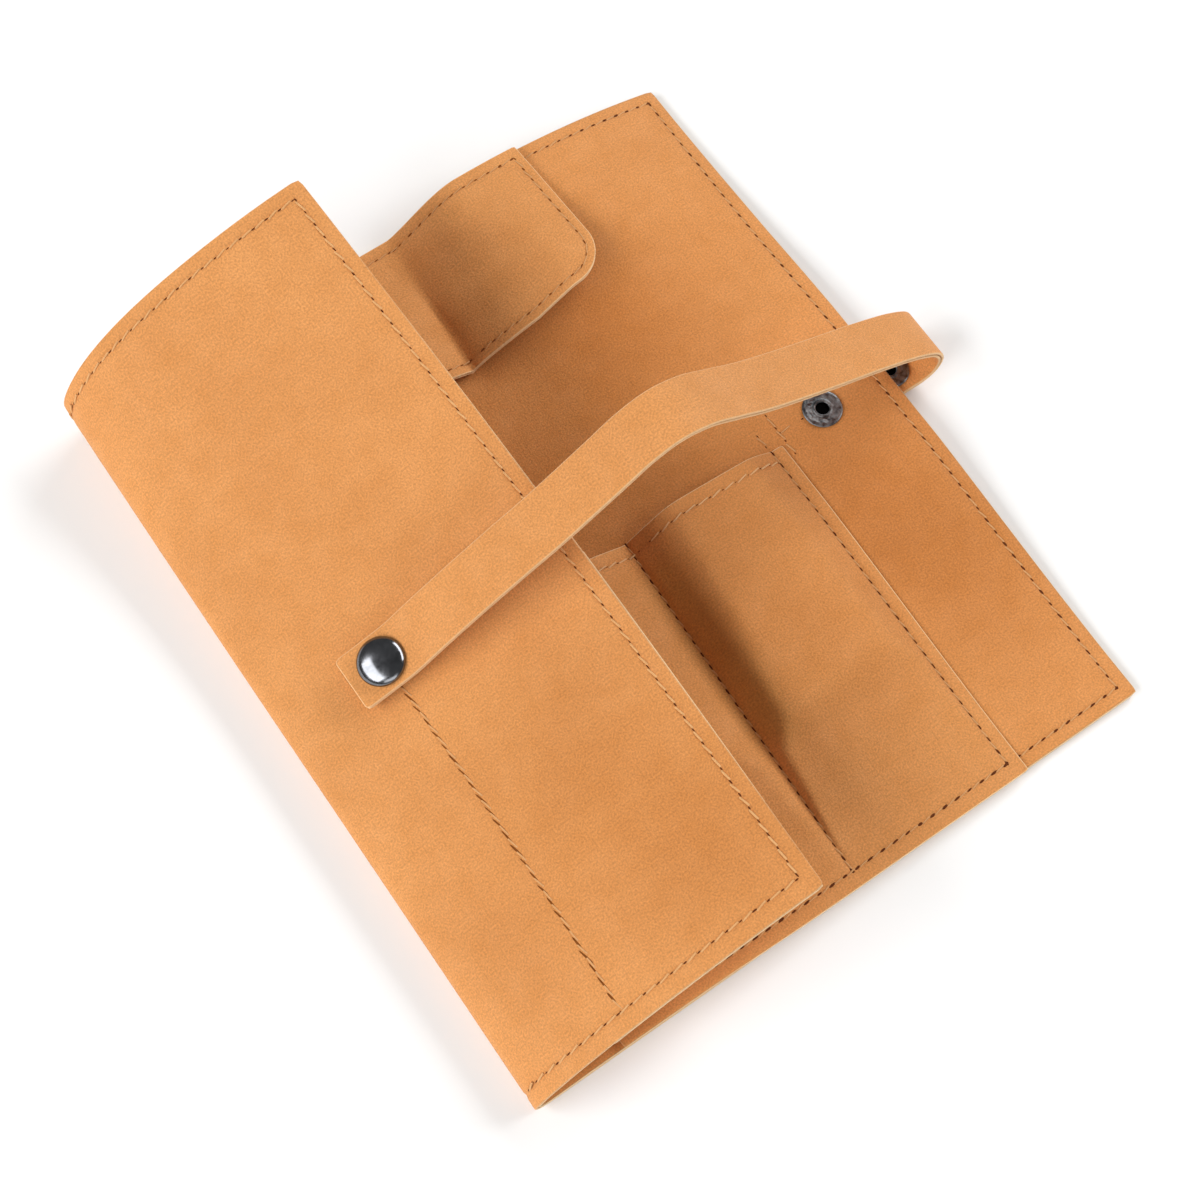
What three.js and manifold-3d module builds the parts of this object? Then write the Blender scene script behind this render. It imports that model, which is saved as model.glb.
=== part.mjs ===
// Folded leather pouch for spare watch straps.
// Millimetres, +Z up. The origin is the centre of the flat underside of the back.
import * as THREE from 'three';
import { mergeVertices } from 'three/addons/utils/BufferGeometryUtils.js';
import Module from 'manifold-3d';

const wasm = await Module();
wasm.setup();

// Pouch frame used while shaping: x from the left fold, y from the bottom edge, z up.
const foldedWidth = 159.4;
const pouchHeight = 184;
const originX = 80;
const originY = 92;

// Leather build-up, measured inward from the outer face.
const skin = 0.8;
const sewnGap = 0.2;
const liningStart = skin + sewnGap;
const liningEnd = liningStart + 0.7;
const pocketStart = liningEnd + sewnGap;
const pocketEnd = pocketStart + 0.7;
const cutGap = 0.15;

// Pocket strip, its seams and its slots.
const pocketMouth = 91;
const flapPocketMouth = 87;
const pocketRight = 127.8;
const seamRight = 126;
const seamMiddle = 83;
const seamSlant = 3.4;
const seamHidden = 54;
const seamLeft = 24;
const pocketLeft = 22;
const strapTips = 30;
const slotRound = 5;

// Cover flap sewn along the top edge.
const coverLeft = 26;
const coverRight = 121.2;
const coverBottom = 144.8;
const coverHinge = 178.2;
const coverCorner = 11;
const coverPly = 0.6;

// Back panel relief: room for the strap sewn behind it and a wave along the top.
const lapRise = 3.9;
const waveRise = 9;

// Fold and flap.
const foldStart = 16;
const flapStart = 0.1;
const seamFlap = 0.34;
const snapOnFlap = 0.375;

// Strap.
const strapY = 92;
const strapWidth = 12.8;
const plyInner = 0.1;
const plyOuter = 0.8;
const lapFloor = 1.95;
const lapCentre = lapFloor + plyOuter;
const snapStandOff = 2.6;

// Snap fasteners.
const backSnapX = 141.3;
const spareSnapX = 160.9;
const spareSeat = 1.05;
const barrelHole = 2.05;
const postHole = 1.7;

const tan = { color: '#c98b4e', roughness: 0.86, metalness: 0 };
const tanInside = { color: '#c08146', roughness: 0.9, metalness: 0 };
const gunmetal = { color: '#4b4d52', roughness: 0.24, metalness: 1 };
const antique = { color: '#57595a', roughness: 0.45, metalness: 1 };
const springSteel = { color: '#a9abad', roughness: 0.3, metalness: 1 };

const clamp = (t) => Math.min(1, Math.max(0, t));
const smooth = (t) => clamp(t) ** 2 * (3 - 2 * clamp(t));
const mix = (a, b, t) => a + (b - a) * t;
const steps = (a, b, n) => Array.from({ length: n + 1 }, (_, i) => mix(a, b, i / n));

// Closed bodies

function outward(points, faces) {
  let volume = 0;
  const [a, b, c] = [new THREE.Vector3(), new THREE.Vector3(), new THREE.Vector3()];
  for (let f = 0; f < faces.length; f += 3) {
    a.fromArray(points, faces[f] * 3);
    b.fromArray(points, faces[f + 1] * 3);
    c.fromArray(points, faces[f + 2] * 3);
    volume += a.dot(b.cross(c));
  }
  const index = Array.from(faces);
  if (volume < 0) {
    for (let f = 0; f < index.length; f += 3) {
      [index[f + 1], index[f + 2]] = [index[f + 2], index[f + 1]];
    }
  }
  const body = new THREE.BufferGeometry();
  body.setAttribute('position', new THREE.Float32BufferAttribute(points, 3));
  body.setIndex(index);
  return body;
}

function welded(geometry) {
  const bare = geometry.clone();
  bare.deleteAttribute('normal');
  bare.deleteAttribute('uv');
  const joined = mergeVertices(bare, 1e-3);
  const index = joined.getIndex().array;
  const kept = [];
  for (let f = 0; f < index.length; f += 3) {
    const [i, j, k] = [index[f], index[f + 1], index[f + 2]];
    if (i !== j && j !== k && k !== i) kept.push(i, j, k);
  }
  return outward(Array.from(joined.getAttribute('position').array), kept);
}

// A leather sheet: two skins over one grid, closed round the rim.
function slab(us, vs, at) {
  const points = [];
  for (const side of [0, 1]) {
    for (const u of us) {
      for (const v of vs) points.push(...at(u, v, side));
    }
  }
  const id = (i, j, side) => (side * us.length + i) * vs.length + j;
  const faces = [];
  const quad = (a, b, c, d) => faces.push(a, b, c, a, c, d);
  const lastU = us.length - 1;
  const lastV = vs.length - 1;
  for (let i = 0; i < lastU; i += 1) {
    for (let j = 0; j < lastV; j += 1) {
      quad(id(i, j, 1), id(i + 1, j, 1), id(i + 1, j + 1, 1), id(i, j + 1, 1));
      quad(id(i, j, 0), id(i, j + 1, 0), id(i + 1, j + 1, 0), id(i + 1, j, 0));
    }
    quad(id(i, 0, 0), id(i + 1, 0, 0), id(i + 1, 0, 1), id(i, 0, 1));
    quad(id(i, lastV, 0), id(i, lastV, 1), id(i + 1, lastV, 1), id(i + 1, lastV, 0));
  }
  for (let j = 0; j < lastV; j += 1) {
    quad(id(0, j, 0), id(0, j, 1), id(0, j + 1, 1), id(0, j + 1, 0));
    quad(id(lastU, j, 0), id(lastU, j + 1, 0), id(lastU, j + 1, 1), id(lastU, j, 1));
  }
  return outward(points, faces);
}

function asManifold(geometry) {
  return new wasm.Manifold(new wasm.Mesh({
    numProp: 3,
    vertProperties: new Float32Array(geometry.getAttribute('position').array),
    triVerts: new Uint32Array(geometry.getIndex().array),
  }));
}

function asGeometry(manifold) {
  const mesh = manifold.getMesh();
  const points = [];
  for (let v = 0; v < mesh.vertProperties.length; v += mesh.numProp) {
    points.push(...mesh.vertProperties.slice(v, v + 3));
  }
  return outward(points, mesh.triVerts);
}

function drilled(geometry, cutters) {
  let body = asManifold(geometry);
  for (const cutter of cutters) body = body.subtract(asManifold(cutter));
  return asGeometry(body);
}

function turned(profile, segments) {
  const points = profile.map(([r, z]) => new THREE.Vector2(r, z));
  const lathe = new THREE.LatheGeometry(points, segments);
  return welded(lathe.rotateX(Math.PI / 2));
}

// Back panel and what is sewn to it

// The wave along the top edge, which the cover flap carries on over its whole length.
function waveCrest(x) {
  return waveRise * smooth((x - 84) / 18) * (1 - clamp((x - 104) / 56) ** 2);
}

function backRise(x, y) {
  const across = 1 - smooth((Math.abs(y - strapY) - 9) / 36);
  const lap = lapRise * smooth((x - 96) / 26) * across;
  return lap + waveCrest(x) * smooth((y - 132) / 44);
}

// How far the slots are filled: little below the tips of the straps kept in them.
function slotFill(y) {
  const tip = smooth((y - strapTips) / 10);
  const length = smooth((y - strapTips - 10) / 28);
  return 0.26 * smooth((y - 4) / 28) + 0.45 * tip + 0.29 * length;
}

// Straight rises from two seams to a flat top, rounded where they meet.
function tent(left, top, right) {
  if (left <= 0 || top <= 0 || right <= 0) return 0;
  const sum = left ** -slotRound + top ** -slotRound + right ** -slotRound;
  return sum ** (-1 / slotRound);
}

function slotSwell(x, y) {
  const middle = seamMiddle + seamSlant * (y / pocketMouth);
  const fill = slotFill(y);
  const rightTop = mix(8.6, 5.4, clamp((x - 95) / 21));
  const right = tent(1.05 * (x - middle), rightTop * fill, 0.75 * (seamRight - x));
  const centre = tent(0.8 * (x - seamHidden), 6.5 * fill, 0.6 * (middle - 1 - x));
  const left = tent(0.8 * (x - seamLeft), 6.4 * fill, 0.8 * (seamHidden - x));
  return right + centre + left;
}

// Grid lines follow the relief: wide over the flat, close where the leather rises.
const reliefColumns = [...steps(84, 116, 8), coverRight, seamRight, pocketRight];
const backColumns = [foldStart + cutGap, 52, ...reliefColumns, 134, 142, 151, foldedWidth];
const slotColumns = [
  pocketLeft, ...steps(seamLeft, seamHidden, 6), ...steps(58.5, 79, 4),
  seamMiddle, 86.5, 90, 93.5, ...reliefColumns.filter((x) => x >= 96),
];
const coverColumns = [30, 60, ...reliefColumns.filter((x) => x < coverRight)];
const backRows = [
  0, 12, 26, 40, 54, 66, 75, 83, pocketMouth, 98, 107, 118, 130,
  ...steps(142, coverHinge - 0.4, 4), 181, pouchHeight,
];
const slotRows = [0, 12, 22, strapTips, 35, 40, 47, 54, 66, 75, 83, pocketMouth];

function backLayer(from, to) {
  const at = (x, y, side) => [x, y, backRise(x, y) + (side ? to : from)];
  return slab(backColumns, backRows, at);
}

// The columns beside the middle seam lean with it.
function pocketStrip() {
  const at = (column, y, side) => {
    const beside = smooth((column - 70) / 13) * (1 - smooth((column - seamMiddle) / 13));
    const x = column + seamSlant * beside * (y / pocketMouth);
    return [x, y, backRise(x, y) + slotSwell(x, y) + (side ? pocketEnd : pocketStart)];
  };
  return slab(slotColumns, slotRows, at);
}

function coverLayer(from, to) {
  const columns = [coverLeft - 2, ...coverColumns, coverRight, coverRight + 2];
  const rows = [coverBottom - 2, 161, coverHinge - 0.3];
  const at = (x, y, side) => [x, y, waveCrest(x) + (side ? to : from)];
  const sheet = asManifold(slab(columns, rows, at));
  return asGeometry(sheet.intersect(asManifold(coverOutline())));
}

function coverOutline() {
  const outline = new THREE.Shape();
  const r = coverCorner;
  outline.moveTo(coverLeft, pouchHeight);
  outline.lineTo(coverLeft, coverBottom + r);
  outline.absarc(coverLeft + r, coverBottom + r, r, Math.PI, 1.5 * Math.PI, false);
  outline.absarc(coverRight - r, coverBottom + r, r, 1.5 * Math.PI, 2 * Math.PI, false);
  outline.lineTo(coverRight, pouchHeight);
  outline.closePath();
  const block = new THREE.ExtrudeGeometry(outline, { depth: 40, bevelEnabled: false, curveSegments: 8 });
  return welded(block.translate(0, 0, -5));
}

function coverHem() {
  const columns = [coverLeft, ...coverColumns, coverRight];
  const rows = [coverHinge + 0.4, 181, pouchHeight];
  const top = pocketStart + 2 * coverPly + sewnGap;
  const at = (x, y, side) => [x, y, backRise(x, y) + (side ? top : pocketStart)];
  return slab(columns, rows, at);
}

// Fold and flap

// Control points of the flap's profile at the bottom edge, the strap and the top edge.
const flapProfiles = [
  { y: 0, points: [[0, 3.9], [0, 11.5], [25, 31], [67.5, 38.4]] },
  { y: strapY, points: [[0, 6.5], [0, 13], [18, 12.5], [69.7, 32.5]] },
  { y: pouchHeight, points: [[0, 12.4], [0, 20.4], [19.5, 43.5], [64.3, 48.6]] },
];

function profilePoint(k, axis, y) {
  const [bottom, middle, top] = flapProfiles;
  const end = y < strapY ? bottom : top;
  const away = (y - strapY) / (end.y - strapY);
  return mix(middle.points[k][axis], end.points[k][axis], away ** 2);
}

function flapCurve(y) {
  const p = [0, 1, 2, 3].map((k) => new THREE.Vector2(profilePoint(k, 0, y), profilePoint(k, 1, y)));
  const curve = new THREE.CubicBezierCurve(...p);
  curve.arcLengthDivisions = 400;
  return curve;
}

const curves = new Map();
function curveAt(y) {
  if (!curves.has(y)) curves.set(y, flapCurve(y));
  return curves.get(y);
}

// A point at depth d inside the outer face of the flap, u along its width.
function flapPoint(u, y, d) {
  const curve = curveAt(y);
  const p = curve.getPointAt(u);
  const t = curve.getTangentAt(u);
  return [p.x + d * t.y, y, p.y - d * t.x];
}

// The fold runs from the flat back (0 to 1), round a quarter turn (1 to 2) and up the flap.
function foldPoint(s, y, d) {
  const r = profilePoint(0, 1, y);
  if (s <= 1) return [mix(foldStart - cutGap, r, s), y, d];
  if (s <= 2) {
    const a = (s - 1) * Math.PI / 2;
    return [r - (r - d) * Math.sin(a), y, r - (r - d) * Math.cos(a)];
  }
  return flapPoint((s - 2) * (flapStart - 0.004), y, d);
}

const foldSteps = [0, ...steps(1, 2, 6), 2.33, 2.67, 3];
const flapRows = [...steps(0, 74, 5), flapPocketMouth, 98, ...steps(112, pouchHeight, 5)];

function foldLayer(from, to) {
  return slab(foldSteps, flapRows, (s, y, side) => foldPoint(s, y, side ? to : from));
}

function flapLayer(from, to, start, top) {
  const rows = flapRows.filter((y) => y <= top);
  const columns = steps(start, 1, Math.round(14 * (1 - start)));
  return slab(columns, rows, (u, y, side) => flapPoint(u, y, side ? to : from));
}

// Snap placement frames, local z pointing out of the leather's outer face

function snapFrame(origin, along, out) {
  const x = new THREE.Vector3(...along).normalize();
  const z = new THREE.Vector3(...out).normalize();
  const y = new THREE.Vector3().crossVectors(z, x);
  return new THREE.Matrix4().makeBasis(x, y, z).setPosition(...origin);
}

const snapTangent = curveAt(strapY).getTangentAt(snapOnFlap);
const frontBase = flapPoint(snapOnFlap, strapY, 0);
const frontFrame = snapFrame(
  frontBase, [snapTangent.x, 0, snapTangent.y], [-snapTangent.y, 0, snapTangent.x],
);
const backFrame = snapFrame([backSnapX, strapY, lapFloor], [1, 0, 0], [0, 0, -1]);
const spareFrame = snapFrame([spareSnapX, strapY, lapFloor], [1, 0, 0], [0, 0, -1]);

function drill(frame, radius, from, to) {
  const rod = new THREE.CylinderGeometry(radius, radius, to - from, 20);
  rod.rotateX(Math.PI / 2).translate(0, 0, (from + to) / 2);
  return welded(rod.applyMatrix4(frame));
}

// Strap

function frontStrapPoint(along) {
  const h = snapStandOff + plyOuter;
  const local = new THREE.Vector3(along, 0, h).applyMatrix4(frontFrame);
  return [local.x, local.z];
}

const strapLine = new THREE.CatmullRomCurve3([
  [126, lapCentre], [138, lapCentre], [150, lapCentre], [158, lapCentre], [163, lapCentre],
  [166, lapCentre], [168.8, 4.3], [170, 8.4], [168.2, 13.2], [162, 19], [150, 26.4], [138, 32.7],
  [126, 39.3], [116, 45.4], [108, 51.4], [100.5, 56.6], [93, 58.6], [86, 56.6], [79, 52], [65, 43.2],
  [55, 38], [44, 31.9], [36.5, 27.3],
  frontStrapPoint(8), frontStrapPoint(5), frontStrapPoint(0), frontStrapPoint(-7.6),
].map(([x, z]) => new THREE.Vector3(x, 0, z)), false, 'centripetal');
strapLine.arcLengthDivisions = 1200;
const strapLength = strapLine.getLength();
const bendFrom = 39.9 / strapLength;
const bendTo = 63 / strapLength;
const strapCut = cutGap / strapLength;

function strapPly(from, to, count, near, far) {
  const at = (u, y, side) => {
    const p = strapLine.getPointAt(u);
    const t = strapLine.getTangentAt(u);
    const d = side ? far : near;
    return [p.x + d * t.z, y, p.z - d * t.x];
  };
  const edges = [strapY - strapWidth / 2, strapY + strapWidth / 2];
  return slab(steps(from, to, count), edges, at);
}

const facePly = (from, to, count) => strapPly(from, to, count, plyInner, plyOuter);
const liningPly = (from, to, count) => strapPly(from, to, count, -plyOuter, -plyInner);

// Snap parts, turned about local z with the outer face of the leather at z = 0

function snapStud() {
  return turned([
    [0, 1.2], [2.0, 1.2], [2.0, 0.14], [4.2, 0.14], [4.3, 0.28], [4.0, 0.44], [2.5, 0.56],
    [2.3, 0.85], [2.6, 1.3], [2.45, 1.6], [1.7, 1.74], [0, 1.76],
  ], 20);
}

function snapEyelet(seat) {
  const z = -seat - cutGap;
  return turned([
    [1.55, 1.0], [1.82, 1.0], [1.82, z], [4.4, z], [4.65, z - 0.16], [4.55, z - 0.4], [4.0, z - 0.52],
    [2.8, z - 0.4], [2.3, z - 0.42], [2.0, z - 0.58], [1.7, z - 0.56], [1.55, z - 0.4], [1.55, 1.0],
  ], 20);
}

function snapCap() {
  const z = snapStandOff + 2 * plyOuter + cutGap;
  return turned([
    [0, 2.1], [1.45, 2.1], [1.45, z], [5.1, z], [5.35, z + 0.15], [5.35, z + 0.5], [5.1, z + 0.95],
    [4.5, z + 1.45], [3.6, z + 1.85], [2.5, z + 2.12], [1.3, z + 2.28], [0, z + 2.33],
  ], 32);
}

function snapSocket() {
  return turned([
    [1.75, 2.45], [4.4, 2.45], [4.5, 2.32], [4.5, 0.9], [4.35, 0.75], [3.2, 0.75], [3.2, 1.0],
    [3.75, 1.0], [3.75, 1.5], [3.2, 1.5], [3.2, 2.0], [1.75, 2.0], [1.75, 2.45],
  ], 20);
}

function snapSpring() {
  const mouth = 0.35;
  const ring = new THREE.Shape();
  ring.absarc(0, 0, 3.6, mouth, 2 * Math.PI - mouth, false);
  ring.absarc(0, 0, 2.8, 2 * Math.PI - mouth, mouth, true);
  ring.closePath();
  const wire = new THREE.ExtrudeGeometry(ring, { depth: 0.3, bevelEnabled: false, curveSegments: 22 });
  return welded(wire.translate(0, 0, 1.1));
}

// Assembly

const pouch = new THREE.Group();
pouch.name = 'watch_strap_pouch';

function add(name, geometry, look) {
  const body = geometry.clone().translate(-originX, -originY, 0);
  body.computeVertexNormals();
  const mesh = new THREE.Mesh(body, new THREE.MeshStandardMaterial(look));
  mesh.name = name;
  pouch.add(mesh);
}

const backHole = drill(backFrame, barrelHole, -9, 1);
add('back_panel', drilled(backLayer(0, skin), [backHole]), tan);
add('back_lining', drilled(backLayer(liningStart, liningEnd), [backHole]), tanInside);
add('pocket_strip', pocketStrip(), tanInside);
add('cover_hem', coverHem(), tan);

const coverTop = pocketStart + coverPly + sewnGap;
add('cover_lining', coverLayer(pocketStart, pocketStart + coverPly), tanInside);
add('cover_face', coverLayer(coverTop, coverTop + coverPly), tan);

add('fold_spine', foldLayer(0, skin), tan);
add('fold_lining', foldLayer(liningStart, liningEnd), tanInside);

const flapHole = drill(frontFrame, barrelHole, -6, 1);
add('flap_panel', drilled(flapLayer(0, skin, flapStart, pouchHeight), [flapHole]), tan);
const flapLining = flapLayer(liningStart, liningEnd, flapStart, pouchHeight);
add('flap_lining', drilled(flapLining, [flapHole]), tanInside);
add('flap_pocket', flapLayer(pocketStart, pocketEnd, seamFlap, flapPocketMouth), tanInside);

const lapHoles = [backHole, drill(spareFrame, barrelHole, -3, 1)];
const flangeSeat = drill(spareFrame, 4.9, -2, -spareSeat - 0.1);
add('strap_lap_face', drilled(facePly(0, bendFrom - strapCut, 10), lapHoles), tan);
const lapLining = liningPly(0, bendFrom - strapCut, 10);
add('strap_lap_lining', drilled(lapLining, [...lapHoles, flangeSeat]), tanInside);
add('strap_bend_face', facePly(bendFrom + strapCut, bendTo - strapCut, 14), tan);
add('strap_bend_lining', liningPly(bendFrom + strapCut, bendTo - strapCut, 14), tanInside);

const capHole = drill(frontFrame, postHole, 1.5, 6);
add('strap_face', drilled(facePly(bendTo + strapCut, 1, 42), [capHole]), tan);
add('strap_lining', drilled(liningPly(bendTo + strapCut, 1, 42), [capHole]), tanInside);

add('front_snap_cap', snapCap().applyMatrix4(frontFrame), gunmetal);
add('front_snap_socket', snapSocket().applyMatrix4(frontFrame), antique);
add('front_snap_spring', snapSpring().applyMatrix4(frontFrame), springSteel);
add('front_snap_stud', snapStud().applyMatrix4(frontFrame), antique);
add('front_snap_eyelet', snapEyelet(liningEnd).applyMatrix4(frontFrame), antique);

const backStack = lapRise - lapFloor + liningEnd;
add('back_snap_stud', snapStud().applyMatrix4(backFrame), antique);
add('back_snap_eyelet', snapEyelet(backStack).applyMatrix4(backFrame), antique);
add('spare_snap_stud', snapStud().applyMatrix4(spareFrame), antique);
add('spare_snap_eyelet', snapEyelet(spareSeat).applyMatrix4(spareFrame), antique);

export default pouch;
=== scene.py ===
import math

import bpy
import numpy as np
from mathutils import Matrix, Vector, noise


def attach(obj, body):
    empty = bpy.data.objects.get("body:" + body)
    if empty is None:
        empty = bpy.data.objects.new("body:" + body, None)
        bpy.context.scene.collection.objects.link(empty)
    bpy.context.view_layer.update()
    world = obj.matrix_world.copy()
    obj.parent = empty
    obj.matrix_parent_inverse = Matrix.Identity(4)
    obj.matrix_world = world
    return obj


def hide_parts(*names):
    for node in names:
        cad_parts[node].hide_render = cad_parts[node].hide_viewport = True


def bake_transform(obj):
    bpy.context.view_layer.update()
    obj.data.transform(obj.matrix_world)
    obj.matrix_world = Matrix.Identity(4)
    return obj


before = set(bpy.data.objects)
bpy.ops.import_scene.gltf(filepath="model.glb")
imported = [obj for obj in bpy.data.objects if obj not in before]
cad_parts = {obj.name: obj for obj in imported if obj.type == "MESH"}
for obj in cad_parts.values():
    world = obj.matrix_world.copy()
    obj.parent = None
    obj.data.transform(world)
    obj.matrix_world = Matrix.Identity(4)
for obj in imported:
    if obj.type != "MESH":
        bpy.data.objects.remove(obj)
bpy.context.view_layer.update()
print("frame loaded:", len(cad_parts), "nodes")

# Shapes are worked out in millimetres: x from the left fold, y from the bottom edge, z from the floor.
pouch = {"width": 159.4, "height": 184.0, "originX": 80.0, "originY": 92.0, "strapY": 92.0}
metre = 1 / 1000

# Depth of each leather layer, measured inward from the outer face.
layers = {
    "hide": (0.0, 0.85),
    "lining": (0.95, 1.7),
    "pocket": (1.8, 2.6),
    "coverLining": (1.9, 2.55),
    "coverFace": (2.65, 3.3),
}


def smooth(t):
    t = np.clip(t, 0, 1)
    return t * t * (3 - 2 * t)


def ramp(value, start, run):
    # A smooth rise from 0 to 1, towards lower values where the run is negative.
    return smooth((value - start) / run)


def mix(a, b, t):
    return a + (b - a) * t


def unit(vectors):
    return vectors / np.linalg.norm(vectors, axis=-1, keepdims=True)


def runAlong(line):
    return np.concatenate([[0], np.cumsum(np.linalg.norm(np.diff(line, axis=0), axis=1))])


def toFrame(points):
    return (np.asarray(points, float) - [pouch["originX"], pouch["originY"], 0]) / 1000


def addObject(name, data):
    made = bpy.data.objects.new(name, data)
    bpy.context.scene.collection.objects.link(made)
    return made


# Camera first, at the photograph's angle.
camera = {
    "lens": 67.825,
    "sensor": 36.0,
    "clip": (0.01, 20),
    "place": (-0.1210, -0.1428, 0.4663),
    "right": (0.81950278, -0.57181451, 0.03799159),
    "down": (-0.52411012, -0.77464661, -0.35388021),
    "ahead": (0.2317839, 0.27009404, -0.93451882),
}


def addCamera():
    lens = bpy.data.cameras.new("camera")
    lens.lens, lens.sensor_width = camera["lens"], camera["sensor"]
    lens.clip_start, lens.clip_end = camera["clip"]
    eye = addObject("camera", lens)
    right, down, ahead = (Vector(camera[k]) for k in ("right", "down", "ahead"))
    turn = Matrix((right, -down, -ahead)).transposed().to_4x4()
    eye.matrix_world = Matrix.Translation(camera["place"]) @ turn
    bpy.context.scene.camera = eye


addCamera()
print("camera placed")

# Back panel: it rises over the strap sewn behind it and waves along its top edge.
# The pairs are ramps: where each starts and how far it runs.
backShape = {
    "lapRise": 3.9,
    "lap": (96.0, 26.0),
    "lapHalf": 9.0,
    "lapFade": 74.0,
    "lapRound": 0.6,
    "waveRise": 9.9,
    "waveFromX": 83.7,
    "waveRunX": 19.0,
    "waveStart": 0.6,
    "waveY": (132.0, 44.0),
    "crestX": 104.0,
    "waveFall": 56.0,
    "uneven": 0.26,
    "calmStrap": (10, 12),
    "calmTop": (138, -14),
    "calmFold": (18, 12),
}


def waveStart(t):
    return mix(smooth(t), np.sin(t * math.pi / 2), backShape["waveStart"])


def waveFall(x):
    return 1 - np.clip((x - backShape["crestX"]) / backShape["waveFall"], 0, 1) ** 2


def waveCrest(x):
    s = backShape
    t = np.clip((x - s["waveFromX"]) / s["waveRunX"], 0, 1)
    return s["waveRise"] * waveStart(t) * waveFall(x)


# Slow, shallow waves, as in leather that has been handled: lengths along x and y, and shifts.
handledWaves = {"crossed": (8.9, 12.7), "crossedShift": (1.1, 0.4), "slanted": (14.3, 16.9),
                "slantedShift": 2.0, "shares": (0.45, 0.55)}


def uneven(x, y):
    s = handledWaves
    (a, b), (atA, atB), (c, d) = s["crossed"], s["crossedShift"], s["slanted"]
    crossed = np.sin(x / a + atA) * np.sin(y / b + atB)
    return s["shares"][0] * crossed + s["shares"][1] * np.sin(x / c - y / d + s["slantedShift"])


def backRise(x, y):
    s = backShape
    aside = abs(y - pouch["strapY"])
    away = np.clip((aside - s["lapHalf"]) / s["lapFade"], 0, 1)
    lap = s["lapRise"] * ramp(x, *s["lap"]) * (1 - mix(away, smooth(away), s["lapRound"]))
    calm = ramp(aside, *s["calmStrap"]) * ramp(y, *s["calmTop"]) * ramp(x, *s["calmFold"])
    return lap + s["uneven"] * (1 + uneven(x, y)) * calm + waveCrest(x) * ramp(y, *s["waveY"])


# Beyond their seam the plies part along the lower edge, beside the fold.
partedPlies = {"lift": 1.2, "reach": 2.4, "start": (5.0, 12.0), "end": (46.0, 40.0), "pocket": 1.8}


def parted(x, y):
    s = partedPlies
    along = ramp(x, *s["start"]) * (1 - ramp(x, *s["end"]))
    return s["lift"] * along * np.exp(-((np.maximum(y, 0) / s["reach"]) ** 2))


# Flap: four control points (x, z) of its curve at the bottom edge, the strap and the top edge.
flapShape = {
    "bottom": ((0, 3.9), (0, 11.5), (25, 31), (67.5, 38.4)),
    "middle": ((0, 6.5), (0, 13), (18, 12.5), (69.7, 32.5)),
    "top": ((0, 12.4), (0, 20.4), (19.5, 43.5), (64.3, 48.6)),
    "backRun": 153.0,
    "foldRun": 11.0,
    "flapRun": 80.0,
    "samples": 241,
    "uneven": 0.45,
    "unevenShift": 40,
    "calmFold": (0, 0.2),
}
flapStart = flapShape["backRun"] + flapShape["foldRun"]
hideRun = flapStart + flapShape["flapRun"]
snapSeat = {"onFlap": 0.375, "standOff": 2.6, "ply": 0.8, "calm": (9, 14)}


def flapControls(y):
    end = "bottom" if y < pouch["strapY"] else "top"
    reach = pouch["strapY"] if end == "bottom" else pouch["height"] - pouch["strapY"]
    away = ((y - pouch["strapY"]) / reach) ** 2
    return mix(np.array(flapShape["middle"], float), np.array(flapShape[end], float), away)


def bezier(p, t):
    t = np.asarray(t, float)[:, None]
    s = 1 - t
    return s**3 * p[0] + 3 * s**2 * t * p[1] + 3 * s * t**2 * p[2] + t**3 * p[3]


def bezierWay(p, t):
    t = np.asarray(t, float)[:, None]
    s = 1 - t
    return unit(s**2 * (p[1] - p[0]) + 2 * s * t * (p[2] - p[1]) + t**2 * (p[3] - p[2]))


def flapRow(u, y, d):
    f = flapShape
    p = flapControls(y)
    t = np.linspace(0, 1, f["samples"])
    run = runAlong(bezier(p, t))
    at = np.interp(u * run[-1], run, t)
    point, way = bezier(p, at), bezierWay(p, at)
    snapAway = np.hypot((u - snapSeat["onFlap"]) * f["flapRun"], y - pouch["strapY"])
    calm = ramp(snapAway, *snapSeat["calm"]) * ramp(u, *f["calmFold"])
    d = d - f["uneven"] * uneven(u * f["flapRun"] + f["unevenShift"], y) * calm
    return np.stack([point[:, 0] + d * way[:, 1], np.full(len(u), y), point[:, 1] - d * way[:, 0]], 1)


def hideRow(c, y, d):
    backRun, foldRun = flapShape["backRun"], flapShape["foldRun"]
    r = flapControls(y)[0][1]
    out = np.empty((len(c), 3))
    flat, flap = c <= backRun, c > flapStart
    bend = ~flat & ~flap
    x = mix(pouch["width"], r, c[flat] / backRun)
    out[flat] = np.stack([x, np.full(len(x), y), backRise(x, y) + d[flat]], 1)
    a = (c[bend] - backRun) / foldRun * math.pi / 2
    reach = r - d[bend]
    out[bend] = np.stack([r - reach * np.sin(a), np.full(len(a), y), r - reach * np.cos(a)], 1)
    out[flap] = flapRow((c[flap] - flapStart) / flapShape["flapRun"], y, d[flap])
    return out


def hidePoint(c, y, d):
    c, y, d = np.broadcast_arrays(np.asarray(c, float), np.asarray(y, float), np.asarray(d, float))
    out = np.empty((len(c), 3))
    for level in np.unique(y):
        pick = y == level
        out[pick] = hideRow(c[pick], level, d[pick])
    return out


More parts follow.
